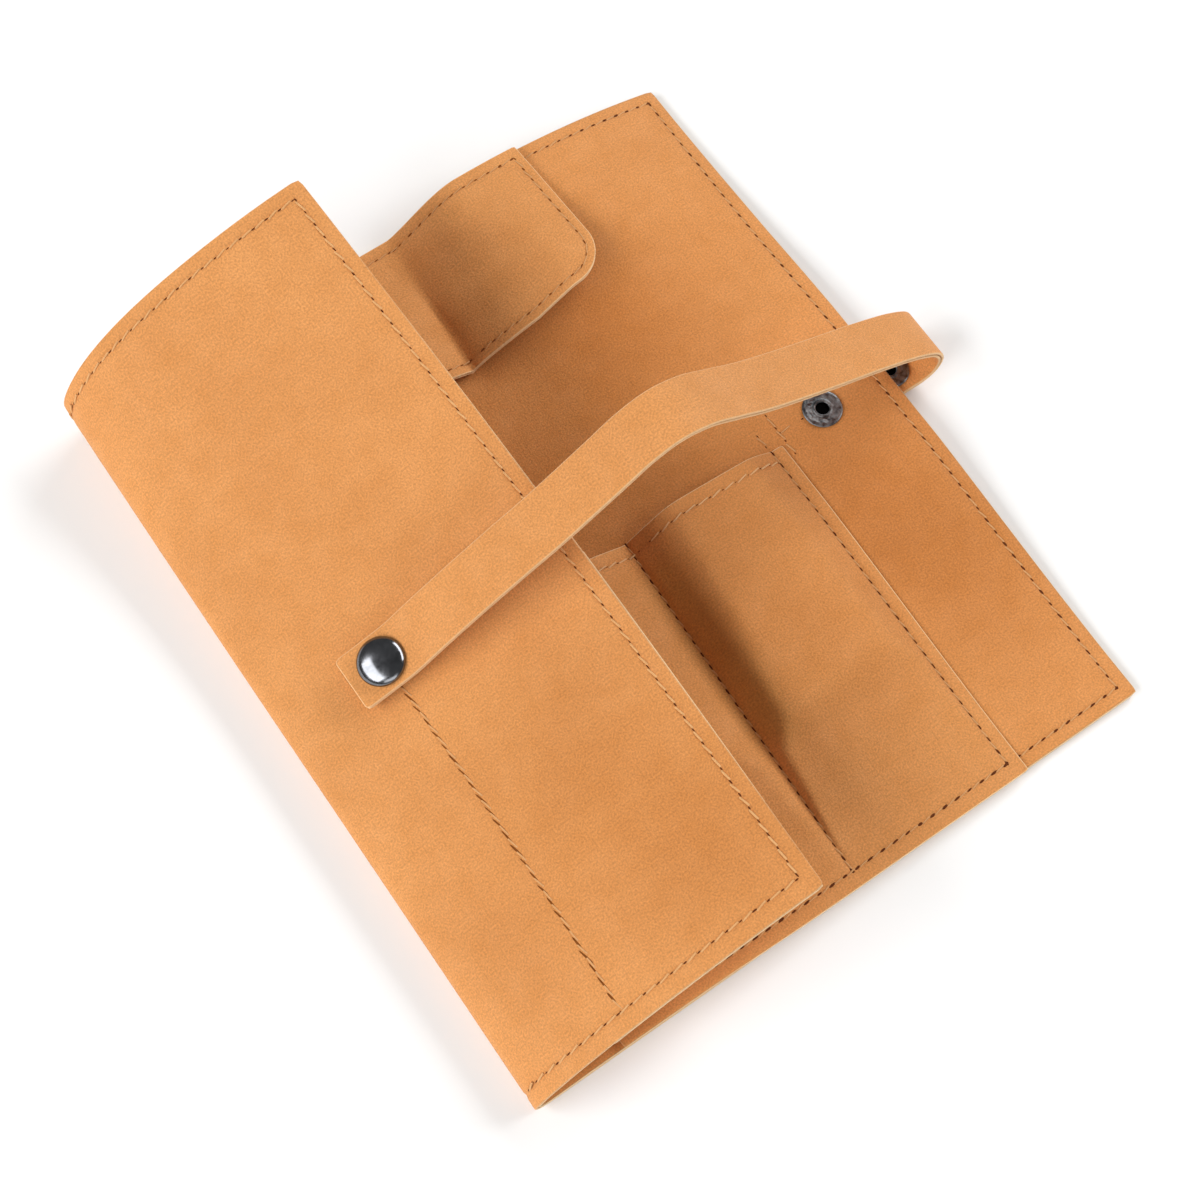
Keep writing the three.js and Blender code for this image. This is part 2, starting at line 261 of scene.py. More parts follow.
# A sheet of leather: two faces over one grid, joined by a rounded cut edge.
# The second face's flat map is shifted, so that the grain of the two faces differs.
cutEdge = {"round": 0.28, "angles": (65, 25, -25, -65), "least": 0.05, "rimAngle": 45, "rimShade": 0.5}
faceShift = 600
cornerOrder = ((0, 0), (1, 0), (1, 1), (0, 1))
gridLines = {"near": (0.35, 0.8, 1.5), "margin": 0.4, "gap": 0.45}


def roundCorners(u, v, low, high, radii):
    u, v = u.copy(), v.copy()
    for (farU, farV), r in zip(cornerOrder, radii):
        cu = high[0] - r if farU else low[0] + r
        cv = high[1] - r if farV else low[1] + r
        su, sv = 2 * farU - 1, 2 * farV - 1
        a, b = (u - cu) * su / r, (v - cv) * sv / r
        pick = (a > 0) & (b > 0)
        na = a * np.sqrt(1 - b * b / 2, where=pick, out=np.ones_like(a))
        nb = b * np.sqrt(1 - a * a / 2, where=pick, out=np.ones_like(b))
        u[pick] = (cu + su * r * na)[pick]
        v[pick] = (cv + sv * r * nb)[pick]
    return u, v


def rimOrder(nu, nv):
    ring = [(i, 0) for i in range(nu)]
    ring += [(nu - 1, j) for j in range(1, nv)]
    ring += [(i, nv - 1) for i in range(nu - 2, -1, -1)]
    ring += [(0, j) for j in range(nv - 2, 0, -1)]
    return np.array([i * nv + j for i, j in ring])


def insetPlace(place, u, v, low, high, radii, inset, depth):
    low, high = (low[0] + inset, low[1] + inset), (high[0] - inset, high[1] - inset)
    u, v = np.clip(u, low[0], high[0]), np.clip(v, low[1], high[1])
    radii = [max(r - inset, cutEdge["least"]) for r in radii]
    u, v = roundCorners(u, v, low, high, radii)
    return place(u, v, depth), np.stack([u, v], 1)


def shadeSpots(u, v, spots):
    # Painted shade: each spot is a place, a reach and an amount.
    shade = np.zeros(len(u))
    for atU, atV, reach, amount in spots:
        shade += amount * np.exp(-((u - atU) ** 2 + (v - atV) ** 2) / reach**2)
    return np.clip(shade, 0, 1)


def sheetLayers(loop):
    # Which grid points each layer takes, its inset, depth, cut edge and shift of the flat map.
    rounding, every = cutEdge["round"], slice(None)
    kept = [(every, rounding, 0.0, 0.0, 0), (every, rounding, 1.0, 0.0, faceShift)]
    for degrees in cutEdge["angles"]:
        a = math.radians(degrees)
        shown = 1.0 if abs(degrees) < cutEdge["rimAngle"] else cutEdge["rimShade"]
        kept.append((loop, rounding * (1 - math.cos(a)), (1 - math.sin(a)) / 2, shown, 0))
    return kept


def leatherSheet(name, place, us, vs, radii, pull=None, spots=(), pale=None, shades=()):
    low, high = (us[0], vs[0]), (us[-1], vs[-1])
    u, v = (g.ravel() for g in np.meshgrid(us, vs, indexing="ij"))
    loop = rimOrder(len(us), len(vs))
    points, flats, edges, shifts = [], [], [], []
    for pick, inset, depth, shown, shift in sheetLayers(loop):
        p, flat = insetPlace(place, u[pick], v[pick], low, high, radii, inset, depth)
        points.append(p)
        flats.append(flat)
        edges.append(np.full(len(p), shown))
        shifts.append(np.full(len(p), shift))
    faces = sheetFaces(len(us), len(vs), loop, len(cutEdge["angles"]))
    made = newPiece(name, toFrame(np.concatenate(points)), faces)
    u, v = np.concatenate(flats).T
    edges = np.concatenate(edges)
    addFlatMap(made, np.stack([u + np.concatenate(shifts), v], 1) / 1000)
    addAttribute(made, "cutEdge", np.clip(edges * pale(u, v), 0, 1) if pale else edges)
    addAttribute(made, "shadeSpots", shadeSpots(u, v, spots))
    addAttribute(made, "shaded", shadeSpots(u, v, shades))
    addAttribute(made, "seamPull", pull(u, v) if pull else np.zeros(len(u)))
    return made


def sheetFaces(nu, nv, loop, rims):
    total = nu * nv
    i, j = (g.ravel() for g in np.meshgrid(np.arange(nu - 1), np.arange(nv - 1), indexing="ij"))
    a, b = i * nv + j, (i + 1) * nv + j
    faces = [np.stack([a, b, b + 1, a + 1], 1), np.stack([a, a + 1, b + 1, b], 1) + total]
    rings = [2 * total + k * len(loop) + np.arange(len(loop)) for k in range(rims)]
    rings = [loop, *rings, loop + total]
    for upper, lower in zip(rings, rings[1:]):
        faces.append(np.stack([upper, lower, np.roll(lower, -1), np.roll(upper, -1)], 1))
    return np.concatenate(faces)


def newPiece(name, points, faces):
    mesh = bpy.data.meshes.new(name)
    mesh.from_pydata(points.tolist(), [], [list(f) for f in faces])
    mesh.validate()
    if signedVolume(mesh) < 0:
        mesh.flip_normals()
    mesh.shade_smooth()
    return addObject(name, mesh)


def signedVolume(mesh):
    mesh.calc_loop_triangles()
    co = np.empty(len(mesh.vertices) * 3)
    mesh.vertices.foreach_get("co", co)
    tri = np.empty(len(mesh.loop_triangles) * 3, int)
    mesh.loop_triangles.foreach_get("vertices", tri)
    a, b, c = np.moveaxis(co.reshape(-1, 3)[tri.reshape(-1, 3)], 1, 0)
    return float((a * np.cross(b, c)).sum())


def addFlatMap(made, flats):
    mesh = made.data
    at = np.empty(len(mesh.loops), int)
    mesh.loops.foreach_get("vertex_index", at)
    mesh.uv_layers.new(name="flat").data.foreach_set("uv", flats[at].astype(np.float32).ravel())


def addAttribute(made, name, values):
    kept = made.data.attributes.new(name, "FLOAT", "POINT")
    kept.data.foreach_set("value", np.asarray(values, np.float32))


def spread(low, high, step, marks=()):
    # Even grid lines, with closer ones beside each stitch line.
    g = gridLines
    close = sorted({m + s * d for m in marks for d in (0, *g["near"]) for s in (-1, 1)})
    close = [c for c in close if low + g["margin"] < c < high - g["margin"]]
    count = max(1, round((high - low) / step))
    even = [mix(low, high, i / count) for i in range(count + 1)]
    kept = [e for e in even[1:-1] if all(abs(e - c) > g["gap"] * step for c in close)]
    return np.array([low] + sorted(kept + close) + [high])


# Outer hide and lining, each one sheet over the back, the fold and the flap.
edgeSeam = {"right": 3.2, "bottom": 3.2, "onFlap": 0.8, "flapRamp": 12, "top": 3.0, "free": 3.4,
            "sink": 0.26, "reach": 0.55, "press": 0.24}
seamLow, seamHigh = edgeSeam["bottom"], pouch["height"] - edgeSeam["top"]
seamRight, seamFree = edgeSeam["right"], hideRun - edgeSeam["free"]
hideLook = {
    "stepAcross": 1.35,
    "stepAlong": 1.15,
    "corners": (0.8, 1.0, 1.0, 0.8),
    "paleFlap": 0.3,
    "paleFold": (70, 20),
    "paleHem": 2,
    # Spots of painted shade on the outer hide and on the lining: a place along and across the sheet, a reach
    # and an amount.
    "hideSpots": ((214, 52, 22, 0.5), (231, 24, 24, 0.7), (186, 30, 18, 0.3), (205, 128, 26, 0.2)),
    "liningSpots": ((20, 64, 26, 1.0), (14, 36, 22, 0.5), (44, 138, 22, 0.9), (70, 112, 30, 0.6)),
}


def seamPull(distance):
    return np.exp(-((distance / edgeSeam["reach"]) ** 2))


def boxDistance(u, v, low, high, corner=0.0):
    # Signed distance from a seam sewn round a box with rounded corners, positive towards the edge.
    du = np.maximum(low[0] + corner - u, u - high[0] + corner)
    dv = np.maximum(low[1] + corner - v, v - high[1] + corner)
    outside = np.hypot(np.maximum(du, 0), np.maximum(dv, 0))
    return outside + np.minimum(np.maximum(du, dv), 0) - corner


def lineDistance(u, v, low, high):
    # Distance from a straight seam between two points, both along u or both along v.
    return np.hypot(u - np.clip(u, low[0], high[0]), v - np.clip(v, low[1], high[1]))


def lowSeam(c):
    # The lower seam lies further in on the flap than on the back.
    middle = flapShape["backRun"] + 0.5 * flapShape["foldRun"]
    return seamLow + edgeSeam["onFlap"] * ramp(c, middle, edgeSeam["flapRamp"])


def edgeDistance(c, y):
    return boxDistance(c, y, (seamRight, lowSeam(c)), (seamFree, seamHigh))


def edgePull(c, y):
    return seamPull(edgeDistance(c, y))


def sunk(distance):
    # The thread pulls a groove, and the border beyond it is pressed thin.
    return edgeSeam["sink"] * seamPull(distance) + edgeSeam["press"] * np.clip(distance / seamLow, 0, 1)


def hideFace(c, y, depth):
    d0, d1 = layers["hide"]
    return hidePoint(c, y, mix(d0 + edgeSeam["sink"] * edgePull(c, y), d1, depth))


def liningFace(c, y, depth):
    d0, d1 = layers["lining"]
    point = hidePoint(c, y, mix(d0, d1 - sunk(edgeDistance(c, y)), depth))
    point[:, 2] += np.where(np.asarray(c) <= flapShape["backRun"], parted(point[:, 0], point[:, 1]), 0)
    return point


def makeHide():
    s = hideLook
    cs = spread(0, hideRun, s["stepAcross"], (seamRight, seamFree))
    ys = spread(0, pouch["height"], s["stepAlong"], (seamLow, seamLow + edgeSeam["onFlap"], seamHigh))
    onBack = lambda c, y: np.where(c < flapStart, 1.0, s["paleFlap"])
    lowLeft = lambda c, y: 1 + ramp(c, *s["paleFold"]) * (y < s["paleHem"])
    shared = (cs, ys, s["corners"], edgePull)
    return (leatherSheet("outerHide", hideFace, *shared, s["hideSpots"], onBack),
            leatherSheet("innerLining", liningFace, *shared, s["liningSpots"], lowLeft))


outerHide, innerLining = makeHide()
print("hide and lining made")

# Pocket strip: slots between its seams, the middle seam slanting. A ramp is a start and a run. Each step of
# the fill is a share and a ramp, so that the slots swell little at their foot and most at the mouth.
pocketShape = {
    "left": 22.0,
    "right": 128.3,
    "drop": 0.5,
    "dropRamp": (40, 30),
    "mouth": 91.0,
    "sag": 1.2,
    "sagRamp": (90, 32),
    "seams": (24.0, 54.0, 83.0, 125.1),
    "slant": 3.4,
    "leftTop": 6.4,
    "centreTop": 6.5,
    "rightTop": (8.6, 5.4),
    "rightTopRun": (95, 21),
    "steep": (1.05, 0.74),
    "steepRamp": (52, 38),
    "slope": 0.8,
    "centreSlope": 0.6,
    "centreGap": 1,
    "rightSlope": 0.75,
    "fill": ((0.26, 4, 28), (0.45, 30, 10), (0.29, 40, 28)),
    "rounding": 6.0,
    "mouthSeam": 3.4,
    "step": 1.0,
    "corner": 0.6,
    # The cut edge shows little cream at the left end and more than its own further on: a painted highlight
    # along the rounded edge.
    "pale": (0.25, 1.6),
    "paleRamp": (0.5, 6),
    # A broad spot of painted shade over the right slot. The shaded slope beside the middle seam gets a
    # painted tint of its own.
    "spots": ((108, 50, 42, 0.55),),
    "shade": {"beside": 3.0, "rows": (38, 86, 6), "reach": 4.2, "amount": 0.7},
}


def pocketX(p, y):
    s = pocketShape
    return p + np.interp(p, s["seams"][1:], (0, 1, 0)) * s["slant"] * y / s["mouth"]


def tent(left, top, right):
    # Straight rises from two seams to a flat top, rounded where they meet.
    n = pocketShape["rounding"]
    sides = [np.maximum(side, 1e-3) ** -n for side in (left, top, right)]
    return np.where(np.minimum(left, right) > 0, np.sum(sides, axis=0) ** (-1 / n), 0)


def slotSwell(x, y):
    s, slope = pocketShape, pocketShape["slope"]
    first, second, middle, last = s["seams"]
    middle = middle + s["slant"] * y / s["mouth"]
    fill = sum(share * ramp(y, start, run) for share, start, run in s["fill"])
    start, run = s["rightTopRun"]
    rightTop = mix(*s["rightTop"], np.clip((x - start) / run, 0, 1))
    steep = mix(*s["steep"], ramp(y, *s["steepRamp"]))
    inner = s["centreSlope"] * (middle - s["centreGap"] - x)
    right = tent(steep * (x - middle), rightTop * fill, s["rightSlope"] * (last - x))
    centre = tent(slope * (x - second), s["centreTop"] * fill, inner)
    left = tent(slope * (x - first), s["leftTop"] * fill, slope * (second - x))
    return right + centre + left


def pocketPull(p, y):
    s = pocketShape
    first, _, middle, last = s["seams"]
    lines = [lineDistance(p, y, (at, seamLow), (at, s["mouth"])) for at in (first, middle, last)]
    lines += [lineDistance(p, y, (first, at), (last, at)) for at in (seamLow, s["mouth"] - s["mouthSeam"])]
    return seamPull(np.min(lines, axis=0))


def pocketSunk(p, y):
    s, last = pocketShape, pocketShape["seams"][3]
    border = np.maximum((seamLow - y) / seamLow, (p - last) / (s["right"] - last))
    return edgeSeam["sink"] * pocketPull(p, y) + edgeSeam["press"] * np.clip(border, 0, 1)


def pocketFace(p, y, depth):
    s = pocketShape
    x = pocketX(p, y)
    d0, d1 = layers["pocket"]
    thick = mix(d1 - pocketSunk(p, y), d0, depth) + partedPlies["pocket"] * parted(x, y)
    y = np.where(y < 0, y * ramp(p, *s["dropRamp"]), y)
    y = y - s["sag"] * ramp(p, *s["sagRamp"]) * (np.maximum(y, 0) / s["mouth"]) ** 3
    return np.stack([x, y, backRise(x, y) + slotSwell(x, y) + thick], 1)


def makePocketStrip():
    s, shade = pocketShape, pocketShape["shade"]
    ps = spread(s["left"], s["right"], s["step"], s["seams"])
    ys = spread(-s["drop"], s["mouth"], s["step"], (seamLow, s["mouth"] - s["mouthSeam"]))
    pale = lambda p, y: mix(*s["pale"], ramp(p - s["left"], *s["paleRamp"]))
    at = s["seams"][2] + shade["beside"]
    shades = [(at, y, shade["reach"], shade["amount"]) for y in range(*shade["rows"])]
    radii = [s["corner"]] * 4
    return leatherSheet("pocketStrip", pocketFace, ps, ys, radii, pocketPull, s["spots"], pale, shades)


pocketStrip = makePocketStrip()

# Pocket inside the flap, sewn along its left seam and the flap's edges.
flapPocketShape = {"left": 0.34, "margin": 2.2, "mouth": 87.0, "step": 1.3, "corner": 0.8, "seam": (2.9, 4.6),
                   "beside": 0.24}
flapPocketLeft = flapStart + flapPocketShape["left"] * flapShape["flapRun"]


def flapPocketFace(c, y, depth):
    d0, d1 = layers["pocket"]
    return hidePoint(c, y, mix(d1, d0, depth))


def makeFlapPocket():
    s = flapPocketShape
    cs = spread(flapPocketLeft - s["margin"], hideRun, s["step"], (seamFree,))
    ys = spread(0, s["mouth"], s["step"], (seamLow,))
    return leatherSheet("flapPocket", flapPocketFace, cs, ys, [s["corner"]] * 4)


flapPocket = makeFlapPocket()
print("pockets made")

# Cover flap along the top edge, two plies with rounded lower corners.
coverShape = {
    "left": 26.0,
    "right": 121.7,
    "bottom": 144.8,
    "corner": 9.5,
    "hemCorner": 0.6,
    "seam": 2.3,
    "step": 1.0,
    "lean": 0.055,
    "hinge": 176.0,
    "sharpen": 16.0,
    "run": 28.0,
    "power": 0.7,
    "valley": 3.6,
    "valleyRun": 22.0,
    "taper": 2.2,
    "slant": 0.13,
    "slantFrom": 100.0,
    "slantReach": 25.0,
    # The cut edge shows a little more than its own cream: a painted highlight along the rounded edge.
    "pale": 1.15,
    # Painted shade on the cover: a spot on its slope, and a row of spots beside its crease.
    "spots": [(100, 160, 18, 0.15)],
    "crease": {"from": 3, "to": 4, "step": 3, "beside": 2.0, "reach": 3.0, "amount": 0.25},
}
coverLow = coverShape["bottom"] + coverShape["seam"]
coverSides = (coverShape["left"] + coverShape["seam"], coverShape["right"] - coverShape["seam"])


def coverRise(x, y):
    # The cover carries the top edge's wave down its whole length, from a crease that sharpens on the way.
    s, b = coverShape, backShape
    across = x + s["lean"] * (s["hinge"] - y)
    sharp = smooth((s["hinge"] - y) / s["sharpen"])
    t = np.clip((across - b["waveFromX"]) / mix(b["waveRunX"], s["run"], sharp), 0, 1)
    rise = mix(waveStart(t), t ** s["power"], sharp)
    left = np.clip((b["waveFromX"] - across) / s["valleyRun"], 0, 1)
    return b["waveRise"] * rise * waveFall(across) + s["valley"] * sharp * np.sin(left * math.pi)


def coverY(x, y):
    # The lower edge slants up towards the right.
    s = coverShape
    reach = np.clip(x - s["slantFrom"], 0, s["slantReach"])
    return y + s["slant"] * reach * (pouch["height"] - y) / (pouch["height"] - s["bottom"])


def coverX(x, y):
    # The right end is a little narrower at the hem.
    s = coverShape
    up = np.clip((y - s["bottom"]) / (pouch["height"] - s["bottom"]), 0, 1)
    return x - s["taper"] * up * ramp(x, s["slantFrom"], s["slantReach"])


def coverPull(x, y):
    low, high = (coverSides[0], coverLow), (coverSides[1], seamHigh)
    return seamPull(boxDistance(x, y, low, high, coverShape["corner"] - coverShape["seam"]))


def coverPly(layer):
    low, high = layers[layer]

    def place(x, y, depth):
        sink = edgeSeam["sink"] * coverPull(x, y) if layer == "coverFace" else 0
        x, y = coverX(x, y), coverY(x, y)
        return np.stack([x, y, coverRise(x, y) + mix(high - sink, low, depth)], 1)

    return place


def makeCover():
    s, crease = coverShape, coverShape["crease"]
    xs = spread(s["left"], s["right"], s["step"], coverSides)
    ys = spread(s["bottom"], pouch["height"], s["step"], (coverLow, seamHigh))
    radii = (s["corner"], s["corner"], s["hemCorner"], s["hemCorner"])
    rows = np.arange(s["bottom"] + crease["from"], pouch["height"] - crease["to"], crease["step"])
    foot = backShape["waveFromX"] - s["lean"] * (s["hinge"] - rows)
    creased = [(x + crease["beside"], y, crease["reach"], crease["amount"]) for x, y in zip(foot, rows)]
    spots, pale = s["spots"] + creased, lambda x, y: s["pale"]
    return (leatherSheet("coverFace", coverPly("coverFace"), xs, ys, radii, coverPull, spots, pale),
            leatherSheet("coverLining", coverPly("coverLining"), xs, ys, radii))


coverFace, coverLining = makeCover()
print("cover made")

# Strap: sewn behind the right edge, round the loop and over to the front snap.
strapShape = {
    "width": 12.8,
    "lapHeight": 2.75,
    "lap": (126, 138, 150, 158, 163, 166),
    "loop": ((168.8, 4.3), (170, 8.4), (168.2, 13.2), (162, 19)),
    "rise": ((150, 26.4), (138, 32.7), (126, 39.3), (116, 45.4), (108, 51.4), (100.5, 56.6), (93, 58.6)),
    "fall": ((86, 56.6), (79, 52), (65, 43.2), (55, 38), (44, 31.9), (36.5, 27.3)),
    "snapEnds": ((9.5, 1.7), (5.0, 0.3), (0, 0), (-8.2, 0)),
    "face": (0.8, 0.06),
    "lining": (-0.8, -0.06),
    "samples": 60,
    "look": 0.2,
    "stepAlong": 1.3,
    "stepAcross": 0.9,
    "corner": 0.9,
    "pale": 0.75,
}


def snapBase():
    u, near = snapSeat["onFlap"], 1e-3
    row = flapRow(np.array([u - near, u, u + near]), pouch["strapY"], np.zeros(3))
    along = unit(row[2] - row[0])
    return row[1], along, np.array([-along[2], 0, along[0]])


def strapKnots():
    s = strapShape
    base, along, out = snapBase()
    height = snapSeat["standOff"] + snapSeat["ply"]
    ends = [base + along * e + out * (height + lift) for e, lift in s["snapEnds"]]
    knots = [(x, s["lapHeight"]) for x in s["lap"]] + [*s["loop"], *s["rise"], *s["fall"]]
    return np.array(knots + [(p[0], p[2]) for p in ends], float)


def evenSlopes(p0, p1, p2, p3):
    return (p2 - p0) / 2, (p3 - p1) / 2


def centripetalSlopes(p0, p1, p2, p3):
    d0, d1, d2 = (np.sqrt(np.linalg.norm(b - a)) for a, b in ((p0, p1), (p1, p2), (p2, p3)))
    return (((p1 - p0) / d0 - (p2 - p0) / (d0 + d1) + (p2 - p1) / d1) * d1,
            ((p2 - p1) / d1 - (p3 - p1) / (d1 + d2) + (p3 - p2) / d2) * d1)


def throughPoints(points, each, slopes):
    # A smooth line through the points, with so many samples between each two.
    padded = np.concatenate([[2 * points[0] - points[1]], points, [2 * points[-1] - points[-2]]])
    t = np.linspace(0, 1, each, endpoint=False)[:, None]
    line = []
    for p0, p1, p2, p3 in zip(padded, padded[1:], padded[2:], padded[3:]):
        m1, m2 = slopes(p0, p1, p2, p3)
        line.append(p1 + m1 * t + (3 * (p2 - p1) - 2 * m1 - m2) * t**2 + (2 * (p1 - p2) + m1 + m2) * t**3)
    return np.concatenate(line + [points[-1:]])


strapLine = throughPoints(strapKnots(), strapShape["samples"], centripetalSlopes)
strapRun = runAlong(strapLine)


def strapAt(s):
    return np.stack([np.interp(s, strapRun, strapLine[:, k]) for k in (0, 1)], 1)


def strapPoint(s, y, d):
    s, y = np.broadcast_arrays(np.asarray(s, float), np.asarray(y, float))
    at, look = strapAt(s), strapShape["look"]
    way = unit(strapAt(s + look) - strapAt(s - look))
    return np.stack([at[:, 0] + d * way[:, 1], y, at[:, 1] - d * way[:, 0]], 1)


def strapPly(layer):
    outer, inner = strapShape[layer]
    return lambda s, y, depth: strapPoint(s, y + pouch["strapY"], mix(outer, inner, depth))


def makeStrap():
    s = strapShape
    half = s["width"] / 2
    along = spread(0, strapRun[-1], s["stepAlong"])
    across = spread(-half, half, s["stepAcross"])
    pale = lambda along, across: s["pale"]
    return [leatherSheet(name, strapPly(layer), along, across, [s["corner"]] * 4, pale=pale)
            for name, layer in (("strapFace", "face"), ("strapLining", "lining"))]


strapFace, strapLining = makeStrap()
print("strap made, length", round(float(strapRun[-1]), 1), "mm")

# Snap fasteners, turned about their own axis with the leather's outer face at z = 0.
# A profile is pairs of radius and z.
snapShape = {
    "segments": 72,
    "sharp": 50,
    "backX": 141.3,
    "spareX": 160.9,
    "lapFloor": 1.95,
    "spareSink": 0.13,
    "gap": 0.15,
    "stem": ((0, -1.9), (1.45, -1.9), (1.45, 0), (5.1, 0), (5.3, 0.08)),
    "dome": ((5.35, 0.5), (5.1, 0.95), (4.5, 1.45), (3.6, 1.85), (2.5, 2.12), (1.3, 2.28), (0, 2.33)),
    "stud": ((0, 1.2), (2.0, 1.2), (2.0, 0.14), (4.2, 0.14), (4.3, 0.28), (4.0, 0.44), (2.5, 0.56),
             (2.3, 0.85), (2.6, 1.3), (2.45, 1.6), (1.7, 1.74), (0, 1.76)),
    "socket": ((1.75, 2.45), (4.4, 2.45), (4.5, 2.32), (4.5, 0.9), (4.35, 0.75), (3.2, 0.75), (3.2, 1.0),
               (3.75, 1.0), (3.75, 1.5), (3.2, 1.5), (3.2, 2.0), (1.75, 2.0)),
    "barrel": ((0, 1.0), (1.82, 1.0)),
    "flange": ((4.4, 0), (4.65, -0.16), (4.55, -0.4), (4.0, -0.52), (2.8, -0.4), (2.3, -0.42), (2.0, -0.58),
               (1.7, -0.56), (1.55, -0.4)),
    "bore": ((1.55, -0.03), (0, -0.03)),
    "arcSamples": 4,
    "cast": {"height": 0.09, "scale": 1.7, "seed": 3.1, "inner": (2.5, 0.3), "outer": (4.2, 0.3)},
}


def snapFrame(origin, along, out):
    x, z = np.array(along, float), np.array(out, float)
    return np.array(origin, float), np.stack([x, np.cross(z, x), z])


def lapFrame(x):
    return snapFrame((x, pouch["strapY"], snapShape["lapFloor"]), (1, 0, 0), (0, 0, -1))


def arcProfile(points):
    line = throughPoints(np.array(points, float), snapShape["arcSamples"], evenSlopes)
    line[:, 0] = np.maximum(line[:, 0], 0)
    return [tuple(p) for p in line]


def turnedPiece(name, profile, place, closed=False, roughen=None):
    count = snapShape["segments"]
    points, rings = [], []
    for r, z in profile:
        if r < 1e-6:
            rings.append([len(points)])
            points.append((0, 0, z))
            continue
        rings.append(list(range(len(points), len(points) + count)))
        for k in range(count):
            a = 2 * math.pi * k / count
            lift = roughen(r, a) if roughen else 0
            points.append((r * math.cos(a), r * math.sin(a), z + lift))
    pairs = list(zip(rings, rings[1:])) + ([(rings[-1], rings[0])] if closed else [])
    faces = [f for upper, lower in pairs for f in ringFaces(upper, lower, count)]
    origin, axes = place
    made = newPiece(name, toFrame(np.array(points) @ axes + origin), faces)
    made.data.set_sharp_from_angle(angle=math.radians(snapShape["sharp"]))
    return made


def ringFaces(upper, lower, count):
    pick = lambda ring, k: ring[0] if len(ring) == 1 else ring[k % count]
    faces = []
    for k in range(count):
        corners = [pick(upper, k), pick(upper, k + 1), pick(lower, k + 1), pick(lower, k)]
        faces.append(list(dict.fromkeys(corners)))
    return faces


def raised(points, z):
    return [(r, z + up) for r, up in points]


def capProfile():
    z = snapSeat["standOff"] + 2 * snapSeat["ply"] + snapShape["gap"]
    return raised(snapShape["stem"], z) + arcProfile(raised(snapShape["dome"], z))


def makeEyelet(name, place, seat):
    s, z = snapShape, -seat - snapShape["gap"]
    barrel = [*s["barrel"], (s["barrel"][-1][0], z)]
    profile = barrel + arcProfile(raised(s["flange"], z)) + raised(s["bore"], z)
    made = turnedPiece(name, profile, place, roughen=castTexture)
    # The floor of the barrel, its last ring and its centre, is painted black: painted shade inside the
    # eyelet's hole.
    deep = np.zeros(len(made.data.vertices))
    deep[-s["segments"] - 1:] = 1
    addAttribute(made, "bore", deep)
    return made


def castTexture(r, a):
    # The cast face of an eyelet's flange: an uneven ring between its rim and its barrel.
    s = snapShape["cast"]
    ring = ramp(r, *s["inner"]) * (1 - ramp(r, *s["outer"]))
    across, along = r * math.cos(a) * s["scale"], r * math.sin(a) * s["scale"]
    return s["height"] * ring * noise.noise((across, along, s["seed"]))


def makeSnaps():
    # Each piece with the body that it moves with, by the name of its node.
    s, front, lining = snapShape, snapFrame(*snapBase()), layers["lining"][1]
    made = {"front_snap_cap": (turnedPiece("snapCap", capProfile(), front), "strap"),
            "front_snap_socket": (turnedPiece("snapSocket", s["socket"], front, True), "strap")}
    for name, place, seat, body in (
        ("front", front, lining, "flap"),
        ("back", lapFrame(s["backX"]), backShape["lapRise"] - s["lapFloor"] + lining, "back"),
        ("spare", lapFrame(s["spareX"]), 2 * snapSeat["ply"] - s["spareSink"], "back"),
    ):
        made[name + "_snap_stud"] = (turnedPiece(name + "Stud", s["stud"], place), body)
        made[name + "_snap_eyelet"] = (makeEyelet(name + "Eyelet", place, seat), body)
    return made


snaps = makeSnaps()
print("snaps made:", len(snaps))

# Stitches follow their seams: a thread bow from hole to hole, and a needle hole at each end, a flat dark lens
# of painted shade.
stitch = {"pitch": 3.3, "slant": 12.0, "sway": 5.0, "seed": 7, "vary": 0.28, "lift": 0.02, "rise": 0.07,
          "sample": 0.8, "cornerTurn": 6, "bowPoints": 5, "bowSides": 6, "bowCrown": 2.2, "holeSegments": 8,
          "holeRings": 4, "holeFlat": 0.25}
# Thread radius and length, then a hole's half width and how many times longer than wide it is.
stitchLooks = {
    "edge": {"thread": 0.20, "length": 2.4, "hole": 0.29, "stretch": 2.4},
    "flap": {"thread": 0.26, "length": 2.6, "hole": 0.21, "stretch": 2.4},
    "line": {"thread": 0.20, "length": 2.7, "hole": 0.20, "stretch": 8.4},
    "seam": {"thread": 0.21, "length": 2.2, "hole": 0.35, "stretch": 2.4},
    "mouth": {"thread": 0.20, "length": 2.7, "hole": 0.14, "stretch": 2.4},
    "cover": {"thread": 0.18, "length": 2.6, "hole": 0.23, "stretch": 2.6},
}
seamInputs = [("Geometry", "Geometry"), ("Pitch", "Float"), ("Length", "Float"), ("Width", "Float"),
              ("Rise", "Float"), ("Slant", "Float"), ("Sway", "Float"), ("Smallest", "Vector"),
              ("Largest", "Vector"), ("Seed", "Int"), ("Material", "Material")]


def addNode(tree, kind, inputs=None, **settings):
    node = tree.nodes.new(kind)
    for key, value in settings.items():
        setattr(node, key, value)
    for key, value in (inputs or {}).items():
        node.inputs[key].default_value = value
    return node


def mathNode(tree, operation, *values):
    given = {place: value for place, value in enumerate(values) if value is not None}
    return addNode(tree, "ShaderNodeMath", given, operation=operation)


def linkNodes(tree, links):
    for source, name, target, entry in links:
        tree.links.new(source.outputs[name], target.inputs[entry])


def newTree(name, kind, inputs, outputs):
    tree = bpy.data.node_groups.new(name, kind)
    for direction, sockets in (("INPUT", inputs), ("OUTPUT", outputs)):
        for label, socket in sockets:
            tree.interface.new_socket(label, in_out=direction, socket_type="NodeSocket" + socket)
    return tree, tree.nodes.new("NodeGroupInput"), tree.nodes.new("NodeGroupOutput")


